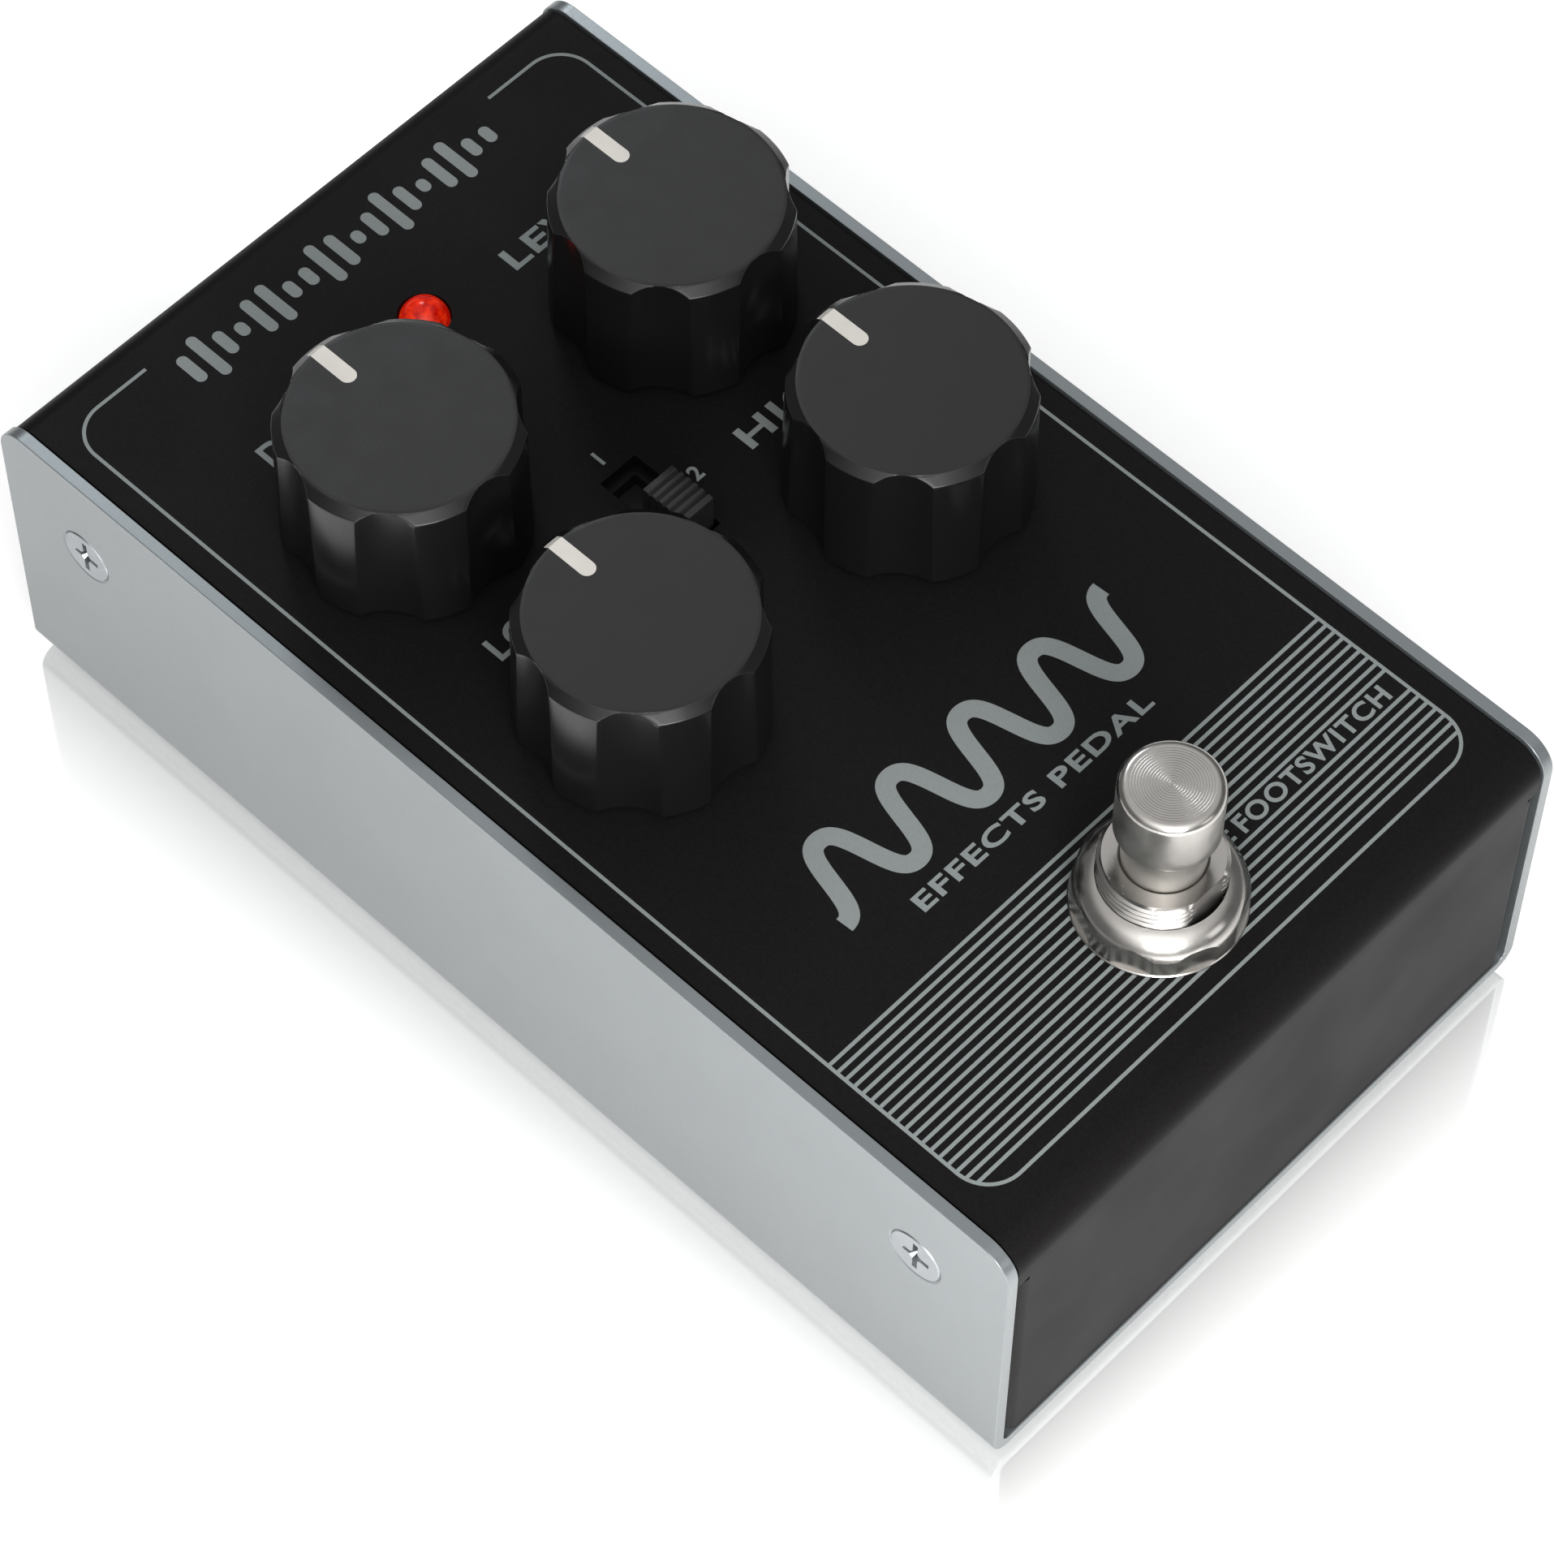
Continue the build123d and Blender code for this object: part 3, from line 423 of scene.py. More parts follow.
@dataclass(frozen=True)
class TurnedMetal(Finish):
    """Metal turned about an upright axis, and plated."""

    axis: Pair = (0.0, 0.0)
    line: float = 0.09
    line_depth: float = 0.002
    pinhole_spacing: float = 0.55
    pinhole_depth: float = 0.012
    wear: float = 1.8
    side_roughness: float = 0.34

    def paint(self, graph: ShaderGraph) -> None:
        """Fine rings left by the tool, with scattered pinholes in the plating."""
        x, y, z = graph.parts(graph.place((*self.axis, 0.0)))
        radius = (x * x + y * y).of("SQRT")
        rings = graph.noise(self.line, 2.0, graph.vector(radius, z, 0.0))
        pinholes = graph.spread(graph.cells(self.pinhole_spacing), 0.0, 1.0, 0.03, 0.1)
        wear = graph.noise(self.wear, 3.0)
        height = rings * self.line_depth + pinholes * self.pinhole_depth
        facing = graph.parts(graph.field("ShaderNodeNewGeometry", "Normal"))[2].of("ABSOLUTE")
        polish = graph.spread(facing, self.side_roughness, self.roughness, 0.08, 0.35)
        graph.set(
            Base_Color=self.mottled(graph, wear, 0.94, 1.0, 0.35),
            Metallic=1.0,
            Roughness=polish + graph.spread(wear, -0.03, 0.06, 0.35, 0.7),
            Normal=graph.relief(height, 1.0),
        )


@dataclass(frozen=True)
class PlainMetal(Finish):
    """Drawn or stamped metal."""

    grain: float = 0.2
    grain_depth: float = 0.006
    stain: float = 2.5

    def paint(self, graph: ShaderGraph) -> None:
        """Slight grain and uneven brightness."""
        grain = graph.noise(self.grain, 3.0)
        stain = graph.noise(self.stain, 2.0)
        graph.set(
            Base_Color=self.mottled(graph, stain, 0.86, 1.0),
            Metallic=1.0,
            Roughness=graph.spread(grain, self.roughness - 0.05, self.roughness + 0.08, 0.3, 0.7),
            Normal=graph.relief(grain, self.grain_depth),
        )


@dataclass(frozen=True)
class MouldedPlastic(Finish):
    """Moulded plastic with a spark-eroded texture."""

    grain: float = 0.22
    grain_depth: float = 0.006
    cloud: float = 3.5
    specular: float = 0.4

    def paint(self, graph: ShaderGraph) -> None:
        """Fine even grain and a slight change of gloss."""
        grain = graph.noise(self.grain, 2.0)
        cloud = graph.noise(self.cloud, 2.0)
        graph.set(
            Base_Color=self.mottled(graph, cloud, 0.93, 1.05),
            Roughness=graph.spread(cloud, self.roughness - 0.04, self.roughness + 0.05, 0.3, 0.7),
            Specular_IOR_Level=self.specular,
            Normal=graph.relief(grain, self.grain_depth),
        )


@dataclass(frozen=True)
class KnobPlastic(Finish):
    """Black knob plastic, satin on the flat top and glossy on the moulded sides, whose colour is
    darkened as painted shade.
    """

    top: float = 54.5
    side_roughness: float = 0.2
    # How much of the top's colour the sides keep: painted shade on the upright walls.
    side_shade_share: float = 0.6
    grain: float = 0.25
    grain_depth: float = 0.007
    streak: float = 3.5
    specular: float = 0.36

    def paint(self, graph: ShaderGraph) -> None:
        """The flat top is matt; the sides take a darker copy of its colour, painted shade on the upright
        walls.
        """
        height = graph.parts(graph.place())[2]
        on_top = graph.spread(height, 0.0, 1.0, self.top - 0.03, self.top - 0.01)
        grain = graph.noise(self.grain, 2.0)
        streak = graph.noise(self.streak, 1.0, graph.place(stretch=(1.0, 1.0, 0.2)))
        side = graph.spread(streak, self.side_roughness - 0.02, self.side_roughness + 0.05, 0.3, 0.7)
        graph.set(
            # Painted shade: below the top, the sides get a darker copy of the same plastic's colour.
            Base_Color=graph.blend(on_top, darker(self.colour, self.side_shade_share), self.colour),
            Roughness=side + on_top * (self.roughness - self.side_roughness),
            Specular_IOR_Level=self.specular,
            Normal=graph.relief(grain * (on_top * 0.9 + 0.1), self.grain_depth),
        )


@dataclass(frozen=True)
class LampGlow(Finish):
    """A lit red lamp: tinted resin over a glowing core."""

    clot: float = 1.1
    dim: Colour = display_colour(190, 8, 2)
    bright: Colour = display_colour(255, 70, 22)
    strength: float = 0.42

    def paint(self, graph: ShaderGraph) -> None:
        """Deep red with brighter orange clots where the core shows."""
        clots = graph.noise(self.clot, 4.0, rough=0.65)
        share = graph.spread(clots, 0.0, 1.0, 0.4, 0.66)
        glow = graph.blend(share, self.dim, self.bright)
        graph.set(
            Base_Color=graph.blend(share, darker(self.colour, 0.5), self.colour),
            Roughness=self.roughness,
            Specular_IOR_Level=0.15,
            Coat_Weight=0.2,
            Coat_Roughness=0.03,
            Emission_Color=glow,
            Emission_Strength=self.strength,
            Normal=graph.relief(clots, 0.02, 0.3),
        )


@dataclass(frozen=True)
class ScreenInk(Finish):
    """Screen-printed ink."""

    grain: float = 0.28
    grain_depth: float = 0.01

    def paint(self, graph: ShaderGraph) -> None:
        """A matt film that follows the grain of the coat below."""
        grain = graph.noise(self.grain, 3.0)
        graph.set(
            Base_Color=self.mottled(graph, grain, 0.94, 1.04),
            Roughness=graph.spread(grain, self.roughness - 0.05, self.roughness + 0.08, 0.3, 0.7),
            Specular_IOR_Level=0.25,
            Normal=graph.relief(grain, self.grain_depth),
        )


@dataclass(frozen=True)
class BoardLacquer(Finish):
    """Green solder mask over copper tracks on a circuit board."""

    def paint(self, graph: ShaderGraph) -> None:
        """Tracks show as slightly raised, lighter lines under the lacquer."""
        where = graph.place(stretch=(0.45, 0.45, 0.0))
        edges = graph.field("ShaderNodeTexVoronoi", "Distance", {"Vector": where, "Scale": 0.7},
                            feature="DISTANCE_TO_EDGE", distance="EUCLIDEAN")
        track = graph.spread(edges, 1.0, 0.0, 0.05, 0.09)
        graph.set(
            Base_Color=graph.blend(track, self.colour, darker(self.colour, 2.2)),
            Roughness=graph.spread(graph.noise(0.6), self.roughness - 0.05, self.roughness + 0.1),
            Coat_Weight=0.4,
            Coat_Roughness=0.15,
            Normal=graph.relief(track, 0.04),
        )


@dataclass(frozen=True)
class OpenFoam(Finish):
    """Open-cell foam strip or soft rubber."""

    cell: float = 0.5
    depth: float = 0.12

    def paint(self, graph: ShaderGraph) -> None:
        """Small pits all over, darkened towards their bottoms as painted shade."""
        pits = graph.cells(self.cell)
        graph.set(
            # Painted shade: the colour falls to half where the pits are deepest.
            Base_Color=self.mottled(graph, pits, 0.5, 1.0, 0.1, 0.6),
            Roughness=graph.spread(pits, self.roughness, self.roughness - 0.1, 0.0, 0.6),
            Specular_IOR_Level=0.2,
            Normal=graph.relief(pits, self.depth),
        )


@dataclass(frozen=True)
class BatteryWrap(Finish):
    """A battery's printed can: a dark wrap with a copper-coloured band and no lettering."""

    band_start: float = 10.0
    band: Colour = display_colour(176, 116, 62)

    def paint(self, graph: ShaderGraph) -> None:
        """The band crosses the wrap near one end, over fine roll marks."""
        along = graph.parts(graph.place())[0]
        share = graph.spread(along, 0.0, 1.0, self.band_start, self.band_start + 0.05)
        rolled = graph.noise(0.4, 2.0, graph.place(stretch=(0.1, 1.0, 1.0)))
        graph.set(
            Base_Color=graph.blend(share, self.colour, self.band),
            Metallic=share * 0.6,
            Roughness=graph.spread(rolled, self.roughness - 0.08, self.roughness + 0.08),
            Normal=graph.relief(rolled, 0.006),
        )


BUSHING_AXIS = (0.0, -50.2)
FINISHES: tuple[Finish, ...] = (
    SatinSheet("satin_silver", display_colour(127, 132, 134), 0.33),
    PowderCoat("black_powder_coat", display_colour(20, 19, 19), 0.42),
    PlainMetal("screw_steel", display_colour(158, 162, 165), 0.36),
    OpenFoam("foot_rubber", display_colour(38, 38, 40), 0.85, cell=0.35, depth=0.03),
    KnobPlastic("knob_plastic", display_colour(25, 24, 24), 0.4),
    MouldedPlastic("pointer_white", display_colour(196, 192, 186), 0.5, grain_depth=0.004),
    PlainMetal("pot_metal", display_colour(178, 180, 182), 0.34),
    PlainMetal("tinned_pins", display_colour(206, 206, 204), 0.28),
    MouldedPlastic("switch_plastic", display_colour(24, 24, 26), 0.5),
    MouldedPlastic("slider_plastic", display_colour(34, 33, 33), 0.45),
    LampGlow("lamp_red", display_colour(214, 24, 8), 0.12),
    TurnedMetal("bright_nickel", display_colour(184, 181, 177), 0.2, axis=BUSHING_AXIS),
    MouldedPlastic("phenolic_blue", display_colour(34, 74, 150), 0.35),
    BoardLacquer("circuit_board", display_colour(16, 74, 40), 0.35),
    MouldedPlastic("lead_grey", display_colour(128, 130, 132), 0.4),
    MouldedPlastic("capacitor_sleeve", display_colour(26, 30, 44), 0.28),
    MouldedPlastic("film_capacitor_box", display_colour(150, 36, 28), 0.34),
    MouldedPlastic("resistor_body", display_colour(108, 160, 186), 0.45),
    MouldedPlastic("jack_plastic", display_colour(26, 26, 27), 0.38),
    PlainMetal("contact_brass", display_colour(206, 170, 96), 0.28),
    BatteryWrap("battery_case", display_colour(30, 30, 32), 0.3),
    OpenFoam("foam", display_colour(58, 58, 60), 0.95),
    MouldedPlastic("lead_red", display_colour(176, 24, 20), 0.38),
    MouldedPlastic("lead_black", display_colour(22, 22, 24), 0.38),
    ScreenInk("panel_ink", display_colour(118, 124, 123), 0.55),
)
BY_SLOT: dict[str, Finish] = {finish.slot: finish for finish in FINISHES}


# ---- geometry recipes -------------------------------------------------------------------------


class Recipe:
    """A geometry tree with named inputs, made once and used for every piece that follows its rule."""

    label = "recipe"
    inputs: dict[str, str] = {}

    def wire(self, graph: Graph, given: dict[str, Field]) -> Field:
        """Adds the rule's nodes.

        Args:
            graph: The tree that they go into.
            given: The tree's inputs, by name.

        Returns:
            The geometry that the nodes end in.
        """
        raise NotImplementedError

    def tree(self) -> bpy.types.NodeTree:
        """The tree, made the first time it is asked for."""
        known = bpy.data.node_groups.get(self.label)
        if known:
            return known
        tree = bpy.data.node_groups.new(self.label, "GeometryNodeTree")
        sockets = {"Geometry": "NodeSocketGeometry", **self.inputs, "Material": "NodeSocketMaterial"}
        for name, kind in sockets.items():
            tree.interface.new_socket(name=name, in_out="INPUT", socket_type=kind)
        tree.interface.new_socket(name="Geometry", in_out="OUTPUT", socket_type="NodeSocketGeometry")
        graph = Graph(tree)
        entry = graph.add("NodeGroupInput")
        given = {name: Field(graph, entry.outputs[name]) for name in sockets}
        shape = self.wire(graph, given)
        real = graph.add("GeometryNodeRealizeInstances", {"Geometry": shape})
        dressed = graph.add("GeometryNodeSetMaterial", {
            "Geometry": real.outputs[0], "Material": given["Material"]})
        graph.add("NodeGroupOutput", {"Geometry": dressed.outputs[0]})
        return tree

    def grow(self, seed: bpy.types.Mesh, finish: Finish, **sizes: Number) -> bpy.types.Mesh:
        """Runs the tree on a seed mesh.

        Args:
            seed: The mesh that the tree starts from.
            finish: What the result is dressed in.
            sizes: The tree's named inputs, with _ for a space.

        Returns:
            The result as a plain mesh, with no modifier left.
        """
        tree = self.tree()
        values: dict[str, Any] = {name.replace("_", " "): value for name, value in sizes.items()}
        values["Material"] = finish.material()
        carrier = bpy.data.objects.new(self.label, seed)
        bpy.context.scene.collection.objects.link(carrier)
        modifier = carrier.modifiers.new(self.label, "NODES")
        modifier.node_group = tree
        kinds = {"NodeSocketInt": int, "NodeSocketFloat": float}
        for item in tree.interface.items_tree:
            if item.in_out == "INPUT" and item.name in values:
                value = values[item.name]
                kind = kinds.get(item.socket_type)
                modifier[item.identifier] = kind(value) if kind else value
        grown = evaluated_mesh(carrier)
        bpy.data.objects.remove(carrier)
        return grown


class Cut(Enum):
    """What a turned piece's marked rows are given besides being round."""

    PLAIN = "plain"
    SCALLOPED = "scalloped"
    FLATTED = "flatted"
    THREADED = "threaded"
    RINGED = "ringed"


@dataclass(frozen=True)
class TurnedRecipe(Recipe):
    """Turns a profile round the upright axis, and cuts its marked rows.

    The seed mesh is the profile: each vertex holds radius in x, height in z, and 1 in y where the
    row is cut. Columns gather at the corners that a cut makes, so that they stay crisp.
    """

    cut: Cut

    tiny = 0.001
    seam = 0.0005
    inputs = {
        "Sectors": "NodeSocketInt",
        "Columns": "NodeSocketInt",
        "Start": "NodeSocketFloat",
        "Cut radius": "NodeSocketFloat",
        "Cut centre": "NodeSocketFloat",
        "Pitch": "NodeSocketFloat",
        "Depth": "NodeSocketFloat",
        "Flat": "NodeSocketFloat",
    }

    @property
    def label(self) -> str:
        """The tree's name."""
        return "turned_" + self.cut.value

    def corner(self, given: dict[str, Field], radius: Field) -> Field:
        """How far a cut's corner is from its middle.

        Args:
            given: The tree's inputs, by name.
            radius: The row's radius.

        Returns:
            The angle in radians.
        """
        if self.cut is Cut.SCALLOPED:
            centre = given["Cut centre"]
            across = radius * radius + centre * centre - given["Cut radius"] * given["Cut radius"]
            cosine = across / (radius * centre * 2.0).of("MAXIMUM", self.tiny)
        else:
            cosine = given["Flat"] / radius.of("MAXIMUM", self.tiny)
        return cosine.clamped(-1.0, 1.0).of("ARCCOSINE")

    def depth_at(self, given: dict[str, Field], angle: Field) -> Field:
        """The radius inside a cut.

        Args:
            given: The tree's inputs, by name.
            angle: The angle from the cut's middle.

        Returns:
            The radius there.
        """
        if self.cut is Cut.SCALLOPED:
            centre = given["Cut centre"]
            side = centre * angle.of("SINE")
            rest = (given["Cut radius"] * given["Cut radius"] - side * side).of("MAXIMUM", 0.0)
            return centre * angle.of("COSINE") - rest.of("SQRT")
        return given["Flat"] / angle.of("COSINE").of("MAXIMUM", self.tiny)

    def wire(self, graph: Graph, given: dict[str, Field]) -> Field:
        """A grid of columns and profile rows is wrapped round the axis and its seam merged."""
        seed = given["Geometry"]
        rows = graph.field("GeometryNodeAttributeDomainSize", "Point Count", {"Geometry": seed})
        columns = given["Sectors"] * given["Columns"]
        grid = graph.field("GeometryNodeMeshGrid", "Mesh", {
            "Vertices X": columns + 1.0, "Vertices Y": rows})
        index = graph.field("GeometryNodeInputIndex", 0)
        column = ((index + 0.5) / rows).of("FLOOR")
        row = index - column * rows
        here = graph.field("GeometryNodeInputPosition", 0)
        sample = graph.field("GeometryNodeSampleIndex", "Value", {
            "Geometry": seed, "Value": here, "Index": row}, data_type="FLOAT_VECTOR", domain="POINT")
        radius, marked, height = graph.parts(sample)
        sector = ((column + 0.5) / given["Columns"]).of("FLOOR")
        across = (column - sector * given["Columns"]) * 2.0 / given["Columns"] - 1.0
        half = math.pi / given["Sectors"]
        share = across.of("ABSOLUTE")
        angle = share * half
        if self.cut in (Cut.SCALLOPED, Cut.FLATTED):
            edge = self.corner(given, radius).of("MINIMUM", half * 0.97)
            inside = share.of("LESS_THAN", 0.5001)
            bent = graph.choose(inside, share * 2.0 * edge, edge + (share * 2.0 - 1.0) * (half - edge))
            angle = graph.choose(marked, bent, angle)
            cut_radius = self.depth_at(given, angle).of("MINIMUM", radius)
            radius = graph.choose(marked * inside, cut_radius, radius)
        turn = given["Start"] + sector * half * 2.0 + across.of("SIGN") * angle
        if self.cut is Cut.THREADED:
            phase = (height / given["Pitch"] - turn / (2.0 * math.pi)).of("FRACT")
            slope = (phase * 2.0 - 1.0).of("ABSOLUTE")
            radius = radius - (slope * 1.5 - 0.25).clamped(0.0, 1.0) * given["Depth"] * marked
        if self.cut is Cut.RINGED:
            wave = (radius / given["Pitch"] * (2.0 * math.pi)).of("COSINE")
            height = height - (0.5 - wave * 0.5) * given["Depth"] * marked
        x = radius * turn.of("COSINE")
        y = radius * turn.of("SINE")
        if self.cut is Cut.THREADED:
            y = y.of("MAXIMUM", -given["Flat"])
        place = graph.vector(x, y, height)
        wrapped = graph.field("GeometryNodeSetPosition", 0, {"Geometry": grid, "Position": place})
        return graph.field("GeometryNodeMergeByDistance", 0, {
            "Geometry": wrapped, "Distance": self.seam})


class MirrorPairsRecipe(Recipe):
    """Places a piece at the four corners of a rectangle, half a turn round on the far side."""

    label = "mirror_pairs"
    inputs = {
        "Half width": "NodeSocketFloat",
        "Spacing": "NodeSocketFloat",
        "Middle": "NodeSocketFloat",
        "Height": "NodeSocketFloat",
    }

    def wire(self, graph: Graph, given: dict[str, Field]) -> Field:
        """Two columns of two points; the left-hand column's copies are turned round."""
        grid = graph.field("GeometryNodeMeshGrid", "Mesh", {
            "Size X": given["Half width"] * 2.0, "Size Y": given["Spacing"],
            "Vertices X": 2, "Vertices Y": 2})
        place = graph.vector(0.0, given["Middle"], given["Height"])
        moved = graph.field("GeometryNodeSetPosition", 0, {"Geometry": grid, "Offset": place})
        x = graph.parts(graph.field("GeometryNodeInputPosition", 0))[0]
        turn = graph.vector(0.0, 0.0, x.of("LESS_THAN", 0.0) * math.pi)
        return graph.field("GeometryNodeInstanceOnPoints", 0, {
            "Points": moved, "Instance": given["Geometry"], "Rotation": turn})


class RuledLinesRecipe(Recipe):
    """Parallel printed lines across a frame with round corners, two of them cut short for a label."""

    label = "ruled_lines"
    inputs = {
        "Count": "NodeSocketInt",
        "Pitch": "NodeSocketFloat",
        "Start": "NodeSocketFloat",
        "Half width": "NodeSocketFloat",
        "Corner": "NodeSocketFloat",
        "Line": "NodeSocketFloat",
        "Short from": "NodeSocketInt",
        "Short to": "NodeSocketInt",
        "Short end": "NodeSocketFloat",
        "Bottom": "NodeSocketFloat",
    }

    def wire(self, graph: Graph, given: dict[str, Field]) -> Field:
        """Each line is a unit block stretched to the width that the frame has there."""
        step = graph.vector(0.0, -given["Pitch"], 0.0)
        start = graph.vector(0.0, given["Start"], 0.0)
        points = graph.field("GeometryNodeMeshLine", 0, {
            "Count": given["Count"], "Start Location": start, "Offset": step})
        index = graph.field("GeometryNodeInputIndex", 0)
        y = graph.parts(graph.field("GeometryNodeInputPosition", 0))[1]
        into = (given["Bottom"] + given["Corner"] - y).of("MAXIMUM", 0.0)
        rise = (given["Corner"] * given["Corner"] - into * into).of("MAXIMUM", 0.0).of("SQRT")
        reach = given["Half width"] - given["Corner"] + rise
        past = index.of("GREATER_THAN", given["Short from"] - 0.5)
        short = past * index.of("LESS_THAN", given["Short to"] + 0.5)
        right = graph.choose(short, given["Short end"].of("MINIMUM", reach), reach)
        middle = graph.vector((right - reach) / 2.0, 0.0, 0.0)
        size = graph.vector(right + reach, given["Line"], 1.0)
        placed = graph.field("GeometryNodeSetPosition", 0, {"Geometry": points, "Offset": middle})
        return graph.field("GeometryNodeInstanceOnPoints", 0, {
            "Points": placed, "Instance": given["Geometry"], "Scale": size})


class FrameLineRecipe(Recipe):
    """A printed frame line with round corners, open at the middle of its far side."""

    label = "frame_line"
    step = 0.1
    inputs = {
        "Half width": "NodeSocketFloat",
        "Front": "NodeSocketFloat",
        "Back": "NodeSocketFloat",
        "Corner": "NodeSocketFloat",
        "Gap left": "NodeSocketFloat",
        "Gap right": "NodeSocketFloat",
    }

    def wire(self, graph: Graph, given: dict[str, Field]) -> Field:
        """A filleted rectangle is opened at the gap and swept with the line's section."""
        loop = graph.field("GeometryNodeCurvePrimitiveQuadrilateral", 0, {
            "Width": given["Half width"] * 2.0, "Height": given["Back"] - given["Front"]})
        middle = graph.vector(0.0, (given["Back"] + given["Front"]) / 2.0, 0.0)
        placed = graph.field("GeometryNodeSetPosition", 0, {"Geometry": loop, "Offset": middle})
        rounded = graph.field("GeometryNodeFilletCurve", 0, {
            "Curve": placed, "Radius": given["Corner"], "Count": 16}, mode="POLY")
        fine = graph.field("GeometryNodeResampleCurve", 0, {
            "Curve": rounded, "Length": self.step}, mode="LENGTH")
        edges = graph.field("GeometryNodeCurveToMesh", 0, {"Curve": fine})
        x, y, _ = graph.parts(graph.field("GeometryNodeInputPosition", 0))
        in_gap = (x.of("GREATER_THAN", given["Gap left"]) * x.of("LESS_THAN", given["Gap right"])
                  * y.of("GREATER_THAN", given["Back"] - 0.5))
        opened = graph.field("GeometryNodeDeleteGeometry", 0, {
            "Geometry": edges, "Selection": in_gap}, domain="POINT")
        path = graph.field("GeometryNodeMeshToCurve", 0, {"Mesh": opened})
        section = graph.field("GeometryNodeMeshToCurve", 0, {"Mesh": given["Geometry"]})
        return graph.field("GeometryNodeCurveToMesh", 0, {
            "Curve": path, "Profile Curve": section, "Fill Caps": True})


class ClippedWaveRecipe(Recipe):
    """A bold printed band that follows a sine wave with its tops pressed flat."""

    label = "clipped_wave"
    points = 900
    step = 0.22
    inputs = {
        "Half width": "NodeSocketFloat",
        "Amplitude": "NodeSocketFloat",
        "Middle": "NodeSocketFloat",
        "Periods": "NodeSocketFloat",
        "Hardness": "NodeSocketFloat",
    }

    def wire(self, graph: Graph, given: dict[str, Field]) -> Field:
        """A straight line of points is lifted to the wave and swept with the band's section."""
        points = graph.field("GeometryNodeMeshLine", 0, {
            "Count": self.points,
            "Start Location": graph.vector(-given["Half width"], 0.0, 0.0),
            "Offset": graph.vector(given["Half width"], 0.0, 0.0),
        }, mode="END_POINTS", count_mode="TOTAL")
        x = graph.parts(graph.field("GeometryNodeInputPosition", 0))[0]
        phase = x / given["Half width"] * given["Periods"] * math.pi
        wave = (phase.of("SINE") * given["Hardness"]).of("TANH")
        place = graph.vector(x, given["Middle"] + wave * given["Amplitude"], 0.0)
        lifted = graph.field("GeometryNodeSetPosition", 0, {"Geometry": points, "Position": place})
        path = graph.field("GeometryNodeMeshToCurve", 0, {"Mesh": lifted})
        even = graph.field("GeometryNodeResampleCurve", 0, {
            "Curve": path, "Length": self.step}, mode="LENGTH")
        section = graph.field("GeometryNodeMeshToCurve", 0, {"Mesh": given["Geometry"]})
        return graph.field("GeometryNodeCurveToMesh", 0, {
            "Curve": even, "Profile Curve": section, "Fill Caps": True})


class LevelBarsRecipe(Recipe):
    """A row of printed round-ended bars whose heights rise and fall."""

    label = "level_bars"
    beat = 1.7
    inputs = {
        "Count": "NodeSocketInt",
        "Left": "NodeSocketFloat",
        "Pitch": "NodeSocketFloat",
        "Middle": "NodeSocketFloat",
        "Low": "NodeSocketFloat",
        "High": "NodeSocketFloat",
    }

    def wire(self, graph: Graph, given: dict[str, Field]) -> Field:
        """Copies of a bar's upper and lower ends are moved apart by the height at their place."""
        points = graph.field("GeometryNodeMeshLine", 0, {
            "Count": given["Count"],
            "Start Location": graph.vector(given["Left"], given["Middle"], 0.0),
            "Offset": graph.vector(given["Pitch"], 0.0, 0.0),
        })
        placed = graph.field("GeometryNodeInstanceOnPoints", 0, {
            "Points": points, "Instance": given["Geometry"]})
        real = graph.field("GeometryNodeRealizeInstances", 0, {"Geometry": placed})
        x, y, z = graph.parts(graph.field("GeometryNodeInputPosition", 0))
        number = ((x - given["Left"]) / given["Pitch"]).of("ROUND")
        level = (number * self.beat).of("SINE") * 0.5 + 0.5
        stretch = (given["Low"] + (given["High"] - given["Low"]) * level) / 2.0
        side = (y - given["Middle"]).of("SIGN")
        place = graph.vector(x, y + side * stretch, z)
        return graph.field("GeometryNodeSetPosition", 0, {"Geometry": real, "Position": place})


class RibbedBlockRecipe(Recipe):
    """A block with a crowned top that is cut by a row of V-shaped grooves."""

    label = "ribbed_block"
    divisions = 16.0
    grooved_share = 0.9
    inputs = {
        "Width": "NodeSocketFloat",
        "Length": "NodeSocketFloat",
        "Low": "NodeSocketFloat",
        "High": "NodeSocketFloat",
        "Crown": "NodeSocketFloat",
        "Ribs": "NodeSocketInt",
        "Groove": "NodeSocketFloat",
        "Groove width": "NodeSocketFloat",
    }

    def wire(self, graph: Graph, given: dict[str, Field]) -> Field:
        """The top vertices of a finely divided block follow the crown and the grooves."""
        height = given["High"] - given["Low"]
        block = graph.field("GeometryNodeMeshCube", "Mesh", {
            "Size": graph.vector(given["Width"], given["Length"], height),
            "Vertices X": 2, "Vertices Y": given["Ribs"] * self.divisions + 1.0, "Vertices Z": 2})
        x, y, z = graph.parts(graph.field("GeometryNodeInputPosition", 0))
        share = y * 2.0 / given["Length"]
        pitch = given["Length"] / given["Ribs"]
        off = (y / pitch - (y / pitch).of("ROUND")).of("ABSOLUTE") * pitch
        inner = share.of("ABSOLUTE").of("LESS_THAN", self.grooved_share)
        groove = (1.0 - off / given["Groove width"]).of("MAXIMUM", 0.0) * given["Groove"] * inner
        drop = (share * share * given["Crown"] + groove) * z.of("GREATER_THAN", 0.0)
        middle = (given["High"] + given["Low"]) / 2.0
        place = graph.vector(x, y, z + middle - drop)
        return graph.field("GeometryNodeSetPosition", 0, {"Geometry": block, "Position": place})


# ---- mesh helpers -----------------------------------------------------------------------------


def evaluated_mesh(carrier: bpy.types.Object) -> bpy.types.Mesh:
    """An object's mesh with its modifiers worked in."""
    depsgraph = bpy.context.evaluated_depsgraph_get()
    return bpy.data.meshes.new_from_object(carrier.evaluated_get(depsgraph))


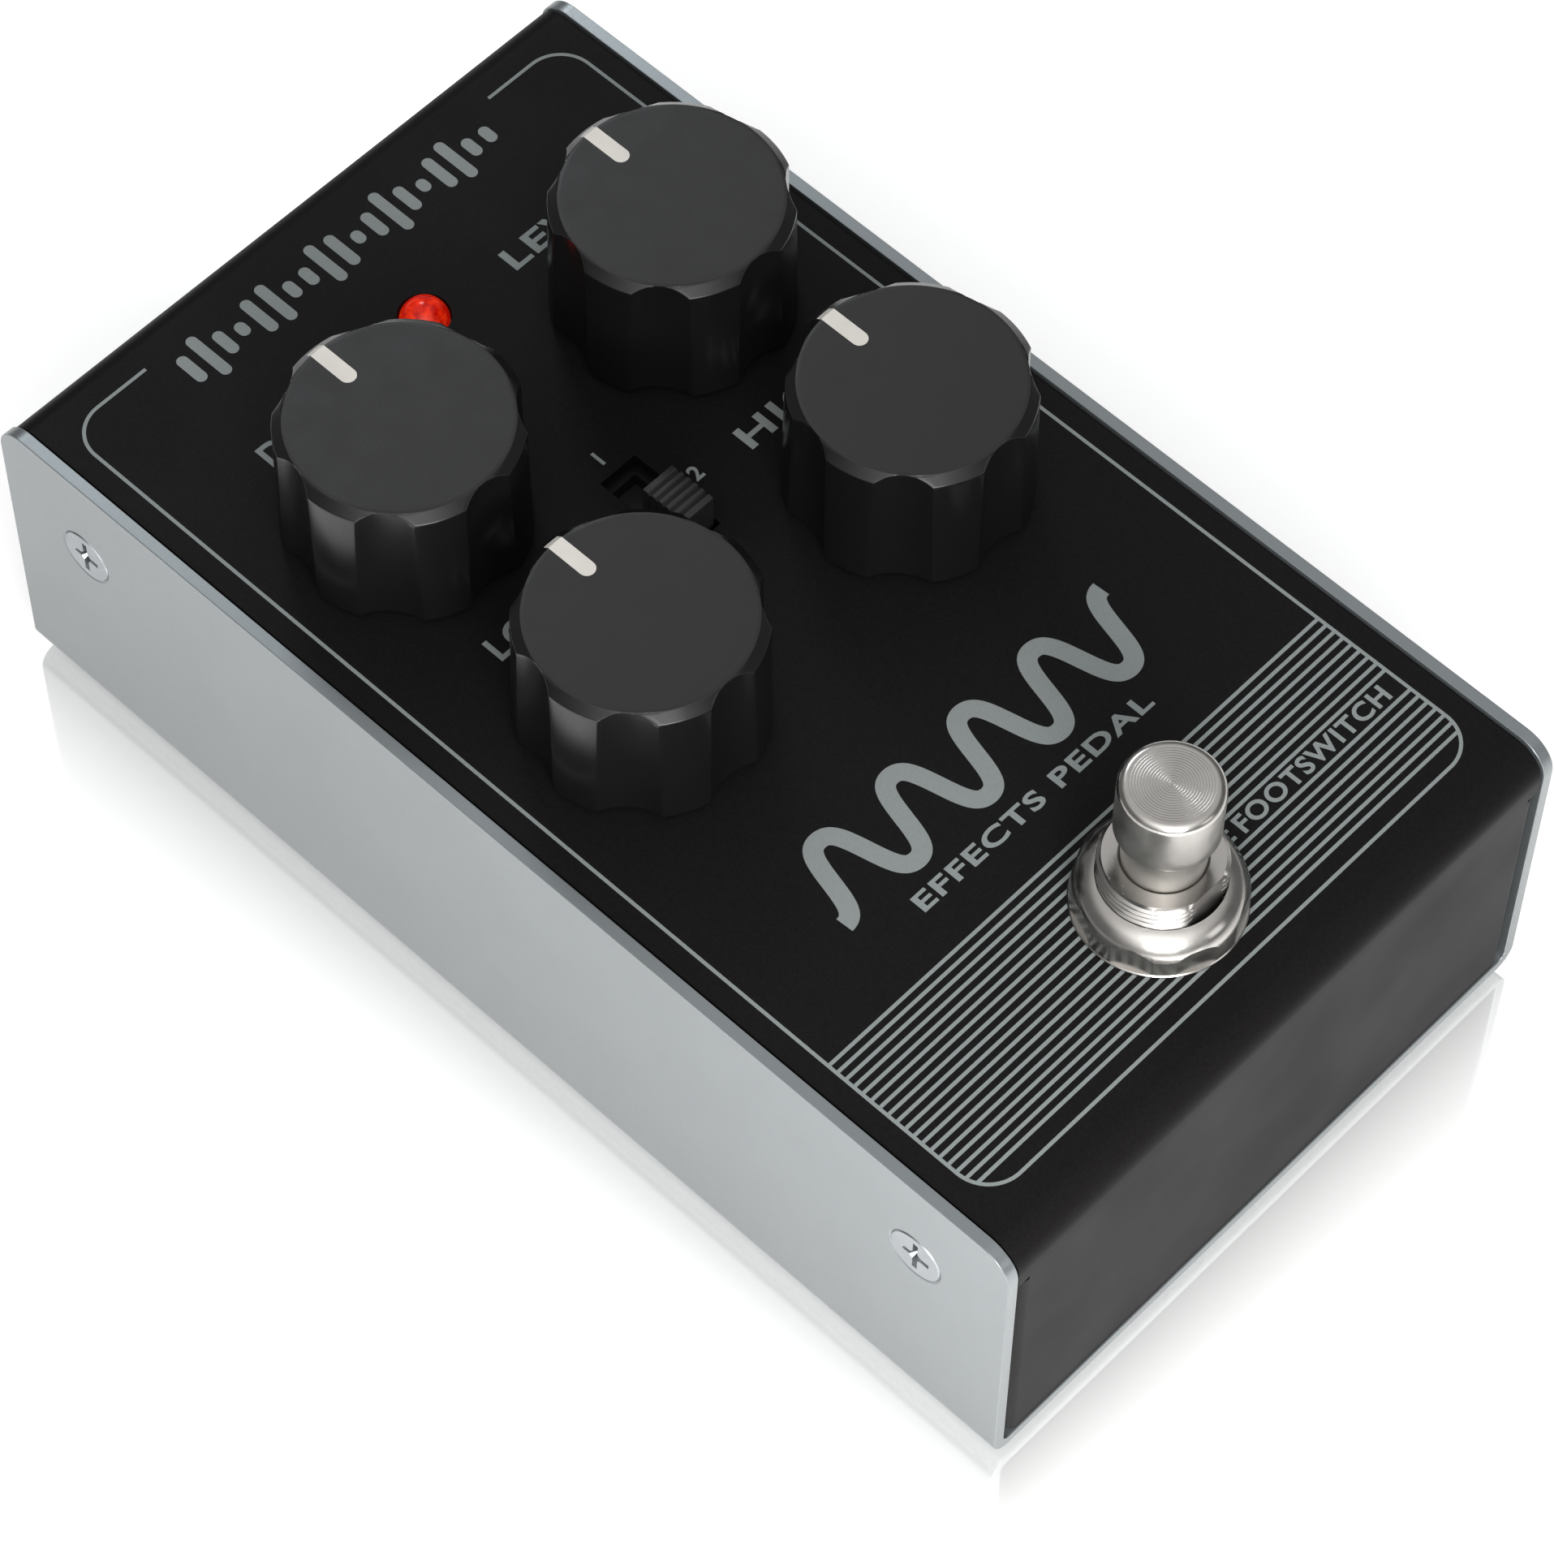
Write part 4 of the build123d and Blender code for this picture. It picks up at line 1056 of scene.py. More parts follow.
def worked(mesh: bpy.types.Mesh, kind: str, **settings: Any) -> bpy.types.Mesh:
    """A mesh with one modifier worked in.

    Args:
        mesh: The mesh to work on.
        kind: The modifier's type.
        settings: The modifier's properties.

    Returns:
        The new mesh.
    """
    carrier = bpy.data.objects.new("carrier", mesh)
    bpy.context.scene.collection.objects.link(carrier)
    modifier = carrier.modifiers.new(kind.lower(), kind)
    for name, value in settings.items():
        setattr(modifier, name, value)
    result = evaluated_mesh(carrier)
    bpy.data.objects.remove(carrier)
    return result


def softened(
    mesh: bpy.types.Mesh, width: float, over: float = 28.0, hard: bool = False, segments: int = 2,
) -> bpy.types.Mesh:
    """A mesh with its edges rounded.

    Args:
        mesh: The mesh to work on.
        width: The rounding's width in millimetres.
        over: The angle in degrees above which an edge is rounded.
        hard: Whether flat faces keep their own shading.
        segments: How many strips make the rounding.

    Returns:
        The new mesh.
    """
    mesh.shade_smooth()
    return worked(mesh, "BEVEL", width=width, segments=segments, limit_method="ANGLE",
                  angle_limit=math.radians(over), harden_normals=hard, use_clamp_overlap=True,
                  miter_outer="MITER_ARC")


def carved(mesh: bpy.types.Mesh, cutter: bpy.types.Mesh) -> bpy.types.Mesh:
    """A mesh with another's volume taken out of it.

    Args:
        mesh: The mesh to cut.
        cutter: A closed mesh.

    Returns:
        The new mesh.
    """
    tool = bpy.data.objects.new("cutter", cutter)
    bpy.context.scene.collection.objects.link(tool)
    result = worked(mesh, "BOOLEAN", operation="DIFFERENCE", object=tool, solver="EXACT")
    bpy.data.objects.remove(tool)
    return result


def polyline_mesh(points: Sequence[Point], closed: bool = False) -> bpy.types.Mesh:
    """A mesh of edges.

    Args:
        points: The points that the edges run through, in order.
        closed: Whether the last point is joined to the first.

    Returns:
        The mesh.
    """
    mesh = bpy.data.meshes.new("line")
    edges = [(i, i + 1) for i in range(len(points) - 1)]
    if closed:
        edges.append((len(points) - 1, 0))
    mesh.from_pydata([tuple(p) for p in points], edges, [])
    return mesh


def box_mesh(low: Point, high: Point) -> bpy.types.Mesh:
    """A block.

    Args:
        low, high: Its lowest and highest corners.

    Returns:
        The mesh.
    """
    bm = bmesh.new()
    size = Vector(high) - Vector(low)
    middle = (Vector(high) + Vector(low)) / 2
    place = Matrix.Translation(middle) @ Matrix.Diagonal((*size, 1.0))
    bmesh.ops.create_cube(bm, size=1.0, matrix=place)
    mesh = bpy.data.meshes.new("block")
    bm.to_mesh(mesh)
    bm.free()
    return mesh


def prism_mesh(outline: Sequence[Pair], low: float, high: float) -> bpy.types.Mesh:
    """An upright prism.

    Args:
        outline: Its outline, anticlockwise.
        low, high: The heights of its two ends.

    Returns:
        The mesh.
    """
    count = len(outline)
    vertices = [(x, y, z) for z in (low, high) for x, y in outline]
    faces: list[Sequence[int]] = [tuple(reversed(range(count))), tuple(range(count, 2 * count))]
    for i in range(count):
        j = (i + 1) % count
        faces.append((i, j, count + j, count + i))
    mesh = bpy.data.meshes.new("prism")
    mesh.from_pydata(vertices, [], faces)
    return mesh


def merged_copy(node: str) -> bpy.types.Mesh:
    """A copy of a CAD node's mesh, with its doubles merged and its flat faces joined.

    Args:
        node: The node's name.

    Returns:
        The copy, in millimetres.
    """
    source = frame["nodes"][node].data
    mesh = bpy.data.meshes.new(node + "_copy")
    faces = [tuple(face.vertices) for face in source.polygons]
    mesh.from_pydata([vertex.co / MM for vertex in source.vertices], [], faces)
    bm = bmesh.new()
    bm.from_mesh(mesh)
    bmesh.ops.remove_doubles(bm, verts=bm.verts, dist=0.001)
    bmesh.ops.dissolve_limit(bm, angle_limit=math.radians(0.3), verts=bm.verts, edges=bm.edges)
    bm.to_mesh(mesh)
    bm.free()
    return mesh


def arc(centre: Pair, radius: float, start: float, end: float, steps: int) -> list[Pair]:
    """Points along an arc.

    Args:
        centre, radius: The arc's circle.
        start, end: Its first and last angles, in degrees.
        steps: How many parts it is divided into.

    Returns:
        The points in order, one more than the steps.
    """
    angles = [math.radians(start + (end - start) * i / steps) for i in range(steps + 1)]
    return [(centre[0] + radius * math.cos(a), centre[1] + radius * math.sin(a)) for a in angles]


def box_mm(node: str) -> tuple[Vector, Vector]:
    """A CAD node's lowest and highest corners in millimetres."""
    low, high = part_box(node)
    return low / MM, high / MM


@dataclass
class Piece:
    """One finished piece and what it stands for."""

    name: str
    body: str
    slot: str
    mesh: bpy.types.Mesh
    nodes: tuple[str, ...] = ()
    centre: Point = (0.0, 0.0, 0.0)
    sharp: Optional[float] = 38.0

    def make(self) -> bpy.types.Object:
        """Brings the mesh to its place in metres, dresses it and hands it to its body."""
        self.mesh.transform(Matrix.Diagonal((MM, MM, MM, 1.0)) @ Matrix.Translation(self.centre))
        if self.sharp is not None:
            self.mesh.shade_smooth()
            self.mesh.set_sharp_from_angle(angle=math.radians(self.sharp))
        self.mesh.materials.clear()
        self.mesh.materials.append(BY_SLOT[self.slot].material())
        shown = bpy.data.objects.new(self.name, self.mesh)
        bpy.context.scene.collection.objects.link(shown)
        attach(shown, self.body)
        if self.nodes:
            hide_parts(*self.nodes)
        log.info("%s: %d faces on %s", self.name, len(self.mesh.polygons), self.body)
        return shown


Row = tuple[float, float, bool]


@dataclass(frozen=True)
class Turning:
    """A turned shape: its profile rows and its cut."""

    rows: Sequence[Row]
    finish: Finish
    cut: Cut = Cut.PLAIN
    sectors: int = 1
    columns: int = 96
    start: float = 0.0
    cut_radius: float = 1.0
    cut_centre: float = 1.0
    pitch: float = 1.0
    depth: float = 0.0
    flat: float = 1.0

    def mesh(self) -> bpy.types.Mesh:
        """The shape round the axis x = y = 0, in millimetres."""
        seed = polyline_mesh([(radius, float(marked), height) for radius, height, marked in self.rows])
        return TurnedRecipe(self.cut).grow(
            seed, self.finish, Sectors=self.sectors, Columns=self.columns,
            Start=math.radians(self.start), Cut_radius=self.cut_radius, Cut_centre=self.cut_centre,
            Pitch=self.pitch, Depth=self.depth, Flat=self.flat,
        )


def plain_rows(points: Sequence[Pair]) -> list[Row]:
    """Profile rows that no cut touches."""
    return [(radius, height, False) for radius, height in points]


# ---- case -------------------------------------------------------------------------------------


@dataclass
class Case:
    """The folded base and cover, the side screws and the feet."""

    sheet_edge: float = 0.16
    cover_edge: float = 0.14
    head_radius: float = 3.0
    head_depth: float = 1.1
    head_edge: float = 0.14
    shank_radius: float = 1.5
    shank_length: float = 6.0
    screw_columns: int = 64
    recess_arms: tuple[tuple[float, float, float, float], ...] = (
        (4.1, 0.6, 0.8, 0.0), (3.28, 0.6, 0.8, 90.0), (1.35, 1.0, 0.64, 45.0), (1.0, 1.35, 0.64, 45.0),
    )
    recess_over: float = 0.2
    recess_mouth: float = 1.12
    recess_floor: float = 0.55
    foot_radius: float = 6.0
    foot_edge: float = 0.4
    foot_dish: Pair = (3.2, 0.1)
    foot_rim: float = 2.6
    foot_hollow: float = 0.12
    foot_columns: int = 48

    def sheets(self) -> None:
        """Both sheets with their sheared edges broken."""
        base = softened(merged_copy("base_chassis"), self.sheet_edge, hard=True)
        Piece("case_base", "case", "satin_silver", base, ("base_chassis",), sharp=None).make()
        cover = softened(merged_copy("top_cover"), self.cover_edge, hard=True)
        Piece("case_cover", "case", "black_powder_coat", cover, ("top_cover",), sharp=None).make()

    def recess_arm(self, length: float, width: float, depth: float, turn: float) -> bpy.types.Mesh:
        """One arm of a driver recess, narrowing downwards.

        Args:
            length, width: Its size at the head's face.
            depth: How deep it goes.
            turn: Its angle in degrees.

        Returns:
            A closed cutter whose top stands a little proud of the face.
        """
        bm = bmesh.new()
        rings = []
        for z, grow in ((self.recess_over, self.recess_mouth), (-depth, self.recess_floor)):
            half_x, half_y = length / 2 * grow, width / 2 * grow
            corners = ((-half_x, -half_y), (half_x, -half_y), (half_x, half_y), (-half_x, half_y))
            rings.append([bm.verts.new((x, y, z)) for x, y in corners])
        top, bottom = rings
        bm.faces.new(top)
        bm.faces.new(list(reversed(bottom)))
        for i in range(4):
            j = (i + 1) % 4
            bm.faces.new((bottom[i], bottom[j], top[j], top[i]))
        bmesh.ops.rotate(bm, verts=bm.verts, matrix=Matrix.Rotation(math.radians(turn), 3, "Z"))
        mesh = bpy.data.meshes.new("arm")
        bm.to_mesh(mesh)
        bm.free()
        return mesh

    def screw(self) -> bpy.types.Mesh:
        """One countersunk screw, its head facing +X at the origin."""
        edge = self.head_edge
        rows = plain_rows([
            (0.0, -self.shank_length), (self.shank_radius, -self.shank_length),
            (self.shank_radius, -self.head_depth), (self.head_radius, -2.0 * edge),
            (self.head_radius - 0.2 * edge, -edge), (self.head_radius - edge, 0.0),
            (self.head_radius - 3 * edge, 0.0), (0.0, 0.0),
        ])
        head = Turning(rows, BY_SLOT["screw_steel"], columns=self.screw_columns).mesh()
        for arm in self.recess_arms:
            head = carved(head, self.recess_arm(*arm))
        head.transform(Matrix.Rotation(math.radians(90), 4, "Y"))
        return head

    def fasteners(self) -> None:
        """The four side screws, from one screw and one rule for their places."""
        low, high = box_mm("case_screws")
        mesh = MirrorPairsRecipe().grow(
            self.screw(), BY_SLOT["screw_steel"], Half_width=high.x,
            Spacing=high.y - low.y - 2 * self.head_radius, Middle=(high.y + low.y) / 2,
            Height=(high.z + low.z) / 2,
        )
        Piece("side_screws", "case", "screw_steel", mesh, ("case_screws",)).make()

    def feet(self) -> None:
        """Four bumpers, domed a little and dished underneath."""
        low, high = box_mm("rubber_feet")
        radius = (high.x - low.x) / 2
        foot, edge = self.foot_radius, self.foot_edge
        inset, lip = self.foot_dish
        rows = plain_rows([
            (0.0, self.foot_hollow), (foot - inset, lip), (foot - self.foot_rim, 0.0),
            (foot - edge, 0.0), (foot - 0.3 * edge, 0.3 * edge), (foot, edge), (foot, high.z),
            (0.0, high.z),
        ])
        bumper = Turning(rows, BY_SLOT["foot_rubber"], columns=self.foot_columns).mesh()
        mesh = MirrorPairsRecipe().grow(
            bumper, BY_SLOT["foot_rubber"], Half_width=radius - foot,
            Spacing=high.y - low.y - 2 * foot, Middle=(high.y + low.y) / 2, Height=0.0,
        )
        Piece("bumper_feet", "case", "foot_rubber", mesh, ("rubber_feet",)).make()

    def build(self) -> None:
        """Builds the whole case."""
        self.sheets()
        self.fasteners()
        self.feet()


# ---- panel print ------------------------------------------------------------------------------


@dataclass(frozen=True)
class Label:
    """One generic word or number printed on the panel, by the rectangle that its letters fill."""

    text: str
    left: float
    right: float
    low: float
    high: float
    stretched: bool = True


@dataclass
class PanelPrint:
    """Everything printed on the cover, as a thin raised film of ink."""

    level: float = 38.0
    film: float = 0.03
    sunk: float = 0.004
    line: float = 0.36
    half_width: float = 33.0
    front: float = -60.0
    back: float = 58.4
    corner: float = 3.9
    gap: tuple[float, float] = (-22.8, 23.0)
    stripe_count: int = 18
    stripe_pitch: float = 1.02
    stripe_start: float = -40.65
    stripe_line: float = 0.37
    stripe_drop: float = 0.006
    short_lines: tuple[int, int] = (9, 10)
    short_end: float = 9.8
    wave_line: float = 1.9
    wave_half_width: float = 21.5
    wave_amplitude: float = 4.3
    wave_middle: float = -27.85
    wave_periods: float = 4.5
    wave_hardness: float = 1.5
    bar_radius: float = 0.62
    bar_count: int = 19
    bar_left: float = -19.8
    bar_pitch: float = 2.2
    bar_middle: float = 55.25
    bar_heights: Pair = (0.4, 4.7)
    letter_weight: float = 0.026
    letter_spacing: float = 1.12
    labels: tuple[Label, ...] = (
        Label("DRIVE", -22.3, -11.3, 41.3, 44.0),
        Label("LEVEL", 10.0, 24.5, 41.3, 44.0),
        Label("LOW", -22.8, -13.6, 10.3, 13.1),
        Label("HIGH", 10.5, 24.5, 10.3, 13.1),
        Label("1", -0.6, 0.6, 19.2, 20.95, False),
        Label("2", 4.2, 5.4, 11.5, 13.25, False),
        Label("3", -0.6, 0.6, 3.8, 5.5, False),
        Label("EFFECTS PEDAL", -15.5, 15.5, -36.1, -34.1),
        Label("FOOTSWITCH", 10.7, 31.2, -51.3, -49.3),
    )

    def section(self, width: float) -> bpy.types.Mesh:
        """The flat rectangle that a printed line is swept with."""
        half = width / 2
        corners = ((-half, 0.0), (half, 0.0), (half, self.film), (-half, self.film))
        return polyline_mesh([(x, y, 0.0) for x, y in corners], closed=True)

    def piece(self, name: str, mesh: bpy.types.Mesh) -> None:
        """One piece of print, level with the panel's face."""
        low = min(vertex.co.z for vertex in mesh.vertices)
        place = (0.0, 0.0, self.level - low - self.sunk)
        Piece(name, "case", "panel_ink", mesh, centre=place, sharp=30.0).make()

    def lines(self) -> None:
        """The frame line and the ruled lines inside its front part."""
        ink = BY_SLOT["panel_ink"]
        mesh = FrameLineRecipe().grow(
            self.section(self.line), ink, Half_width=self.half_width, Front=self.front,
            Back=self.back, Corner=self.corner, Gap_left=self.gap[0], Gap_right=self.gap[1],
        )
        self.piece("print_frame", mesh)
        unit = box_mesh((-0.5, -0.5, 0.0), (0.5, 0.5, self.film - self.stripe_drop))
        mesh = RuledLinesRecipe().grow(
            unit, ink, Count=self.stripe_count, Pitch=self.stripe_pitch, Start=self.stripe_start,
            Half_width=self.half_width, Corner=self.corner, Line=self.stripe_line,
            Short_from=self.short_lines[0], Short_to=self.short_lines[1], Short_end=self.short_end,
            Bottom=self.front,
        )
        self.piece("print_ruled_lines", mesh)

    def lettering(self, label: Label) -> bpy.types.Mesh:
        """One label's letters.

        Args:
            label: The word and its rectangle.

        Returns:
            A closed mesh that fills the rectangle.
        """
        curve = bpy.data.curves.new("letters", "FONT")
        curve.body = label.text
        curve.size = 1.0
        curve.offset = self.letter_weight
        curve.space_character = self.letter_spacing
        curve.extrude = 0.01
        curve.resolution_u = 5
        carrier = bpy.data.objects.new("letters", curve)
        bpy.context.scene.collection.objects.link(carrier)
        mesh = evaluated_mesh(carrier)
        bpy.data.objects.remove(carrier)
        xs = [v.co.x for v in mesh.vertices]
        ys = [v.co.y for v in mesh.vertices]
        low, high = Vector((min(xs), min(ys), 0.0)), Vector((max(xs), max(ys), 0.0))
        scale_x = (label.right - label.left) / (high.x - low.x)
        scale_y = (label.high - label.low) / (high.y - low.y)
        if not label.stretched:
            scale_x = scale_y
        for vertex in mesh.vertices:
            vertex.co.x = label.left + (vertex.co.x - low.x) * scale_x
            vertex.co.y = label.low + (vertex.co.y - low.y) * scale_y
            vertex.co.z = self.film if vertex.co.z > 0 else 0.0
        return mesh

    def words(self) -> None:
        """All labels as one piece."""
        bm = bmesh.new()
        for label in self.labels:
            bm.from_mesh(self.lettering(label))
        bmesh.ops.remove_doubles(bm, verts=bm.verts, dist=0.0008)
        bmesh.ops.recalc_face_normals(bm, faces=bm.faces)
        mesh = bpy.data.meshes.new("words")
        bm.to_mesh(mesh)
        bm.free()
        self.piece("print_labels", mesh)

    def emblems(self) -> None:
        """A clipped wave in the front half and a row of level bars at the back."""
        ink = BY_SLOT["panel_ink"]
        mesh = ClippedWaveRecipe().grow(
            self.section(self.wave_line), ink, Half_width=self.wave_half_width,
            Amplitude=self.wave_amplitude, Middle=self.wave_middle, Periods=self.wave_periods,
            Hardness=self.wave_hardness,
        )
        self.piece("print_wave", mesh)
        apart = 0.001
        upper = arc((0.0, apart), self.bar_radius, 0.0, 180.0, 12)
        lower = arc((0.0, -apart), self.bar_radius, 180.0, 360.0, 12)
        bar = prism_mesh(upper + lower, 0.0, self.film)
        low, high = self.bar_heights
        mesh = LevelBarsRecipe().grow(
            bar, ink, Count=self.bar_count, Left=self.bar_left, Pitch=self.bar_pitch,
            Middle=self.bar_middle, Low=low, High=high,
        )
        self.piece("print_level_bars", mesh)

    def build(self) -> None:
        """Prints the panel."""
        self.lines()
        self.words()
        self.emblems()


# ---- knobs ------------------------------------------------------------------------------------


@dataclass
class Knob:
    """One scalloped knob, hollow below, with a groove for its pointer."""

    control: str
    radius: float = 12.0
    shoulder_radius: float = 11.75
    top_radius: float = 10.8
    chamfer: float = 0.8
    scallops: int = 7
    scallop_radius: float = 6.2
    scallop_centre: float = 17.0
    wall: float = 1.4
    roof: float = 4.5
    hub_radius: float = 4.6
    hub_rise: float = 4.0
    bore_radius: float = 3.05
    edge: float = 0.16
    pointer_gap: float = 0.02
    skirt_shares: tuple[float, ...] = (0.02, 0.3, 0.65, 0.975, 1.0)
    chamfer_steps: int = 10
    top_inset: float = 0.4
    columns: int = 20

    def rows(self, low: float, high: float) -> list[Row]:
        """The profile from the hub's bore, under the skirt and up to the middle of the top.

        Args:
            low, high: The heights of the skirt's edge and of the top.

        Returns:
            The rows in order.
        """
        roof = high - self.roof
        hub = low + self.hub_rise
        cavity = self.scallop_centre - self.scallop_radius - self.wall
        shoulder = high - self.chamfer
        rows = plain_rows([
            (0.0, roof), (self.bore_radius, roof), (self.bore_radius, hub), (self.hub_radius, hub),
            (self.hub_radius, roof), (cavity, roof), (cavity, low),
        ])
        rows.append((self.radius, low, True))
        for share in self.skirt_shares:
            radius = self.radius + (self.shoulder_radius - self.radius) * share
            rows.append((radius, low + (shoulder - low) * share, True))
        for i in range(1, self.chamfer_steps):
            share = i / self.chamfer_steps
            radius = self.shoulder_radius + (self.top_radius - self.shoulder_radius) * share
            rows.append((radius, shoulder + self.chamfer * share, True))
        radii = (self.top_radius, self.top_radius - self.top_inset, self.radius / 2, 0.0)
        return rows + plain_rows([(radius, high) for radius in radii])

    def groove(self, node: str, centre: Vector) -> bpy.types.Mesh:
        """The pointer's groove, a hair wider than the pointer.

        Args:
            node: The pointer's CAD node.
            centre: The knob's centre.

        Returns:
            A closed cutter round the knob's own axis.
        """
        low, high = box_mm(node)
        half = (high.x - low.x) / 2 + self.pointer_gap
        inner = low.y - centre.y + half - self.pointer_gap
        outline = [(half, self.radius + 1.0), (-half, self.radius + 1.0)]
        outline += arc((0.0, inner), half, 180.0, 360.0, 16)
        return prism_mesh(outline, low.z - self.pointer_gap, high.z + 1.0)

    def build(self) -> None:
        """Builds the knob, with a groove cut where its pointer sits."""
        node = "knob_" + self.control
        low, high = box_mm(node)
        shaft_low, shaft_high = box_mm("shaft_" + self.control)
        centre = (shaft_low + shaft_high) / 2
        plastic = BY_SLOT["knob_plastic"]
        turned = Turning(
            self.rows(low.z, high.z), plastic, Cut.SCALLOPED, sectors=self.scallops,
            columns=self.columns, start=270.0, cut_radius=self.scallop_radius,
            cut_centre=self.scallop_centre,
        ).mesh()
        rounded = softened(turned, self.edge, over=24.0)
        mesh = carved(rounded, self.groove("pointer_" + self.control, centre))
        Piece(self.control + "_knob", self.control + "_control", plastic.slot, mesh, (node,),
              (centre.x, centre.y, 0.0), sharp=32.0).make()


# ---- slide switch and lamp --------------------------------------------------------------------


@dataclass
class VoiceSwitch:
    """The ribbed slider of the three-position switch."""

    crown: float = 0.2
    ribs: int = 6
    groove: float = 0.34
    groove_width: float = 0.27
    edge: float = 0.07

    def build(self) -> None:
        """Builds the slider at its rest place."""
        low, high = box_mm("slide_switch_knob")
        seed = box_mesh((0.0, 0.0, 0.0), (1.0, 1.0, 1.0))
        mesh = RibbedBlockRecipe().grow(
            seed, BY_SLOT["slider_plastic"], Width=high.x - low.x, Length=high.y - low.y, Low=low.z,
            High=high.z, Crown=self.crown, Ribs=self.ribs, Groove=self.groove,
            Groove_width=self.groove_width,
        )
        mesh = softened(mesh, self.edge, over=40.0)
        middle = (low + high) / 2
        Piece("voice_slider_cap", "voice_slider", "slider_plastic", mesh, ("slide_switch_knob",),
              (middle.x, middle.y, 0.0), sharp=30.0).make()


@dataclass
class IndicatorLamp:
    """The round-topped lamp with its flange."""

    radius: float = 2.5
    flange_height: float = 1.0
    waist: float = 1.0
    dome_end: float = 88.0
    dome_steps: int = 22
    columns: int = 72

    def build(self) -> None:
        """Builds the lamp."""
        low, high = box_mm("lamp_lens")
        flange = (high.x - low.x) / 2
        step = low.z + self.flange_height
        dome = high.z - self.radius
        rows = plain_rows([
            (0.0, low.z), (flange, low.z), (flange, step), (self.radius, step),
            (self.radius, dome - self.waist),
            *arc((0.0, dome), self.radius, 0.0, self.dome_end, self.dome_steps), (0.0, high.z),
        ])
        mesh = Turning(rows, BY_SLOT["lamp_red"], columns=self.columns).mesh()
        middle = (low + high) / 2
        Piece("lamp_dome", "case", "lamp_red", mesh, ("lamp_lens",), (middle.x, middle.y, 0.0)).make()


# ---- footswitch -------------------------------------------------------------------------------


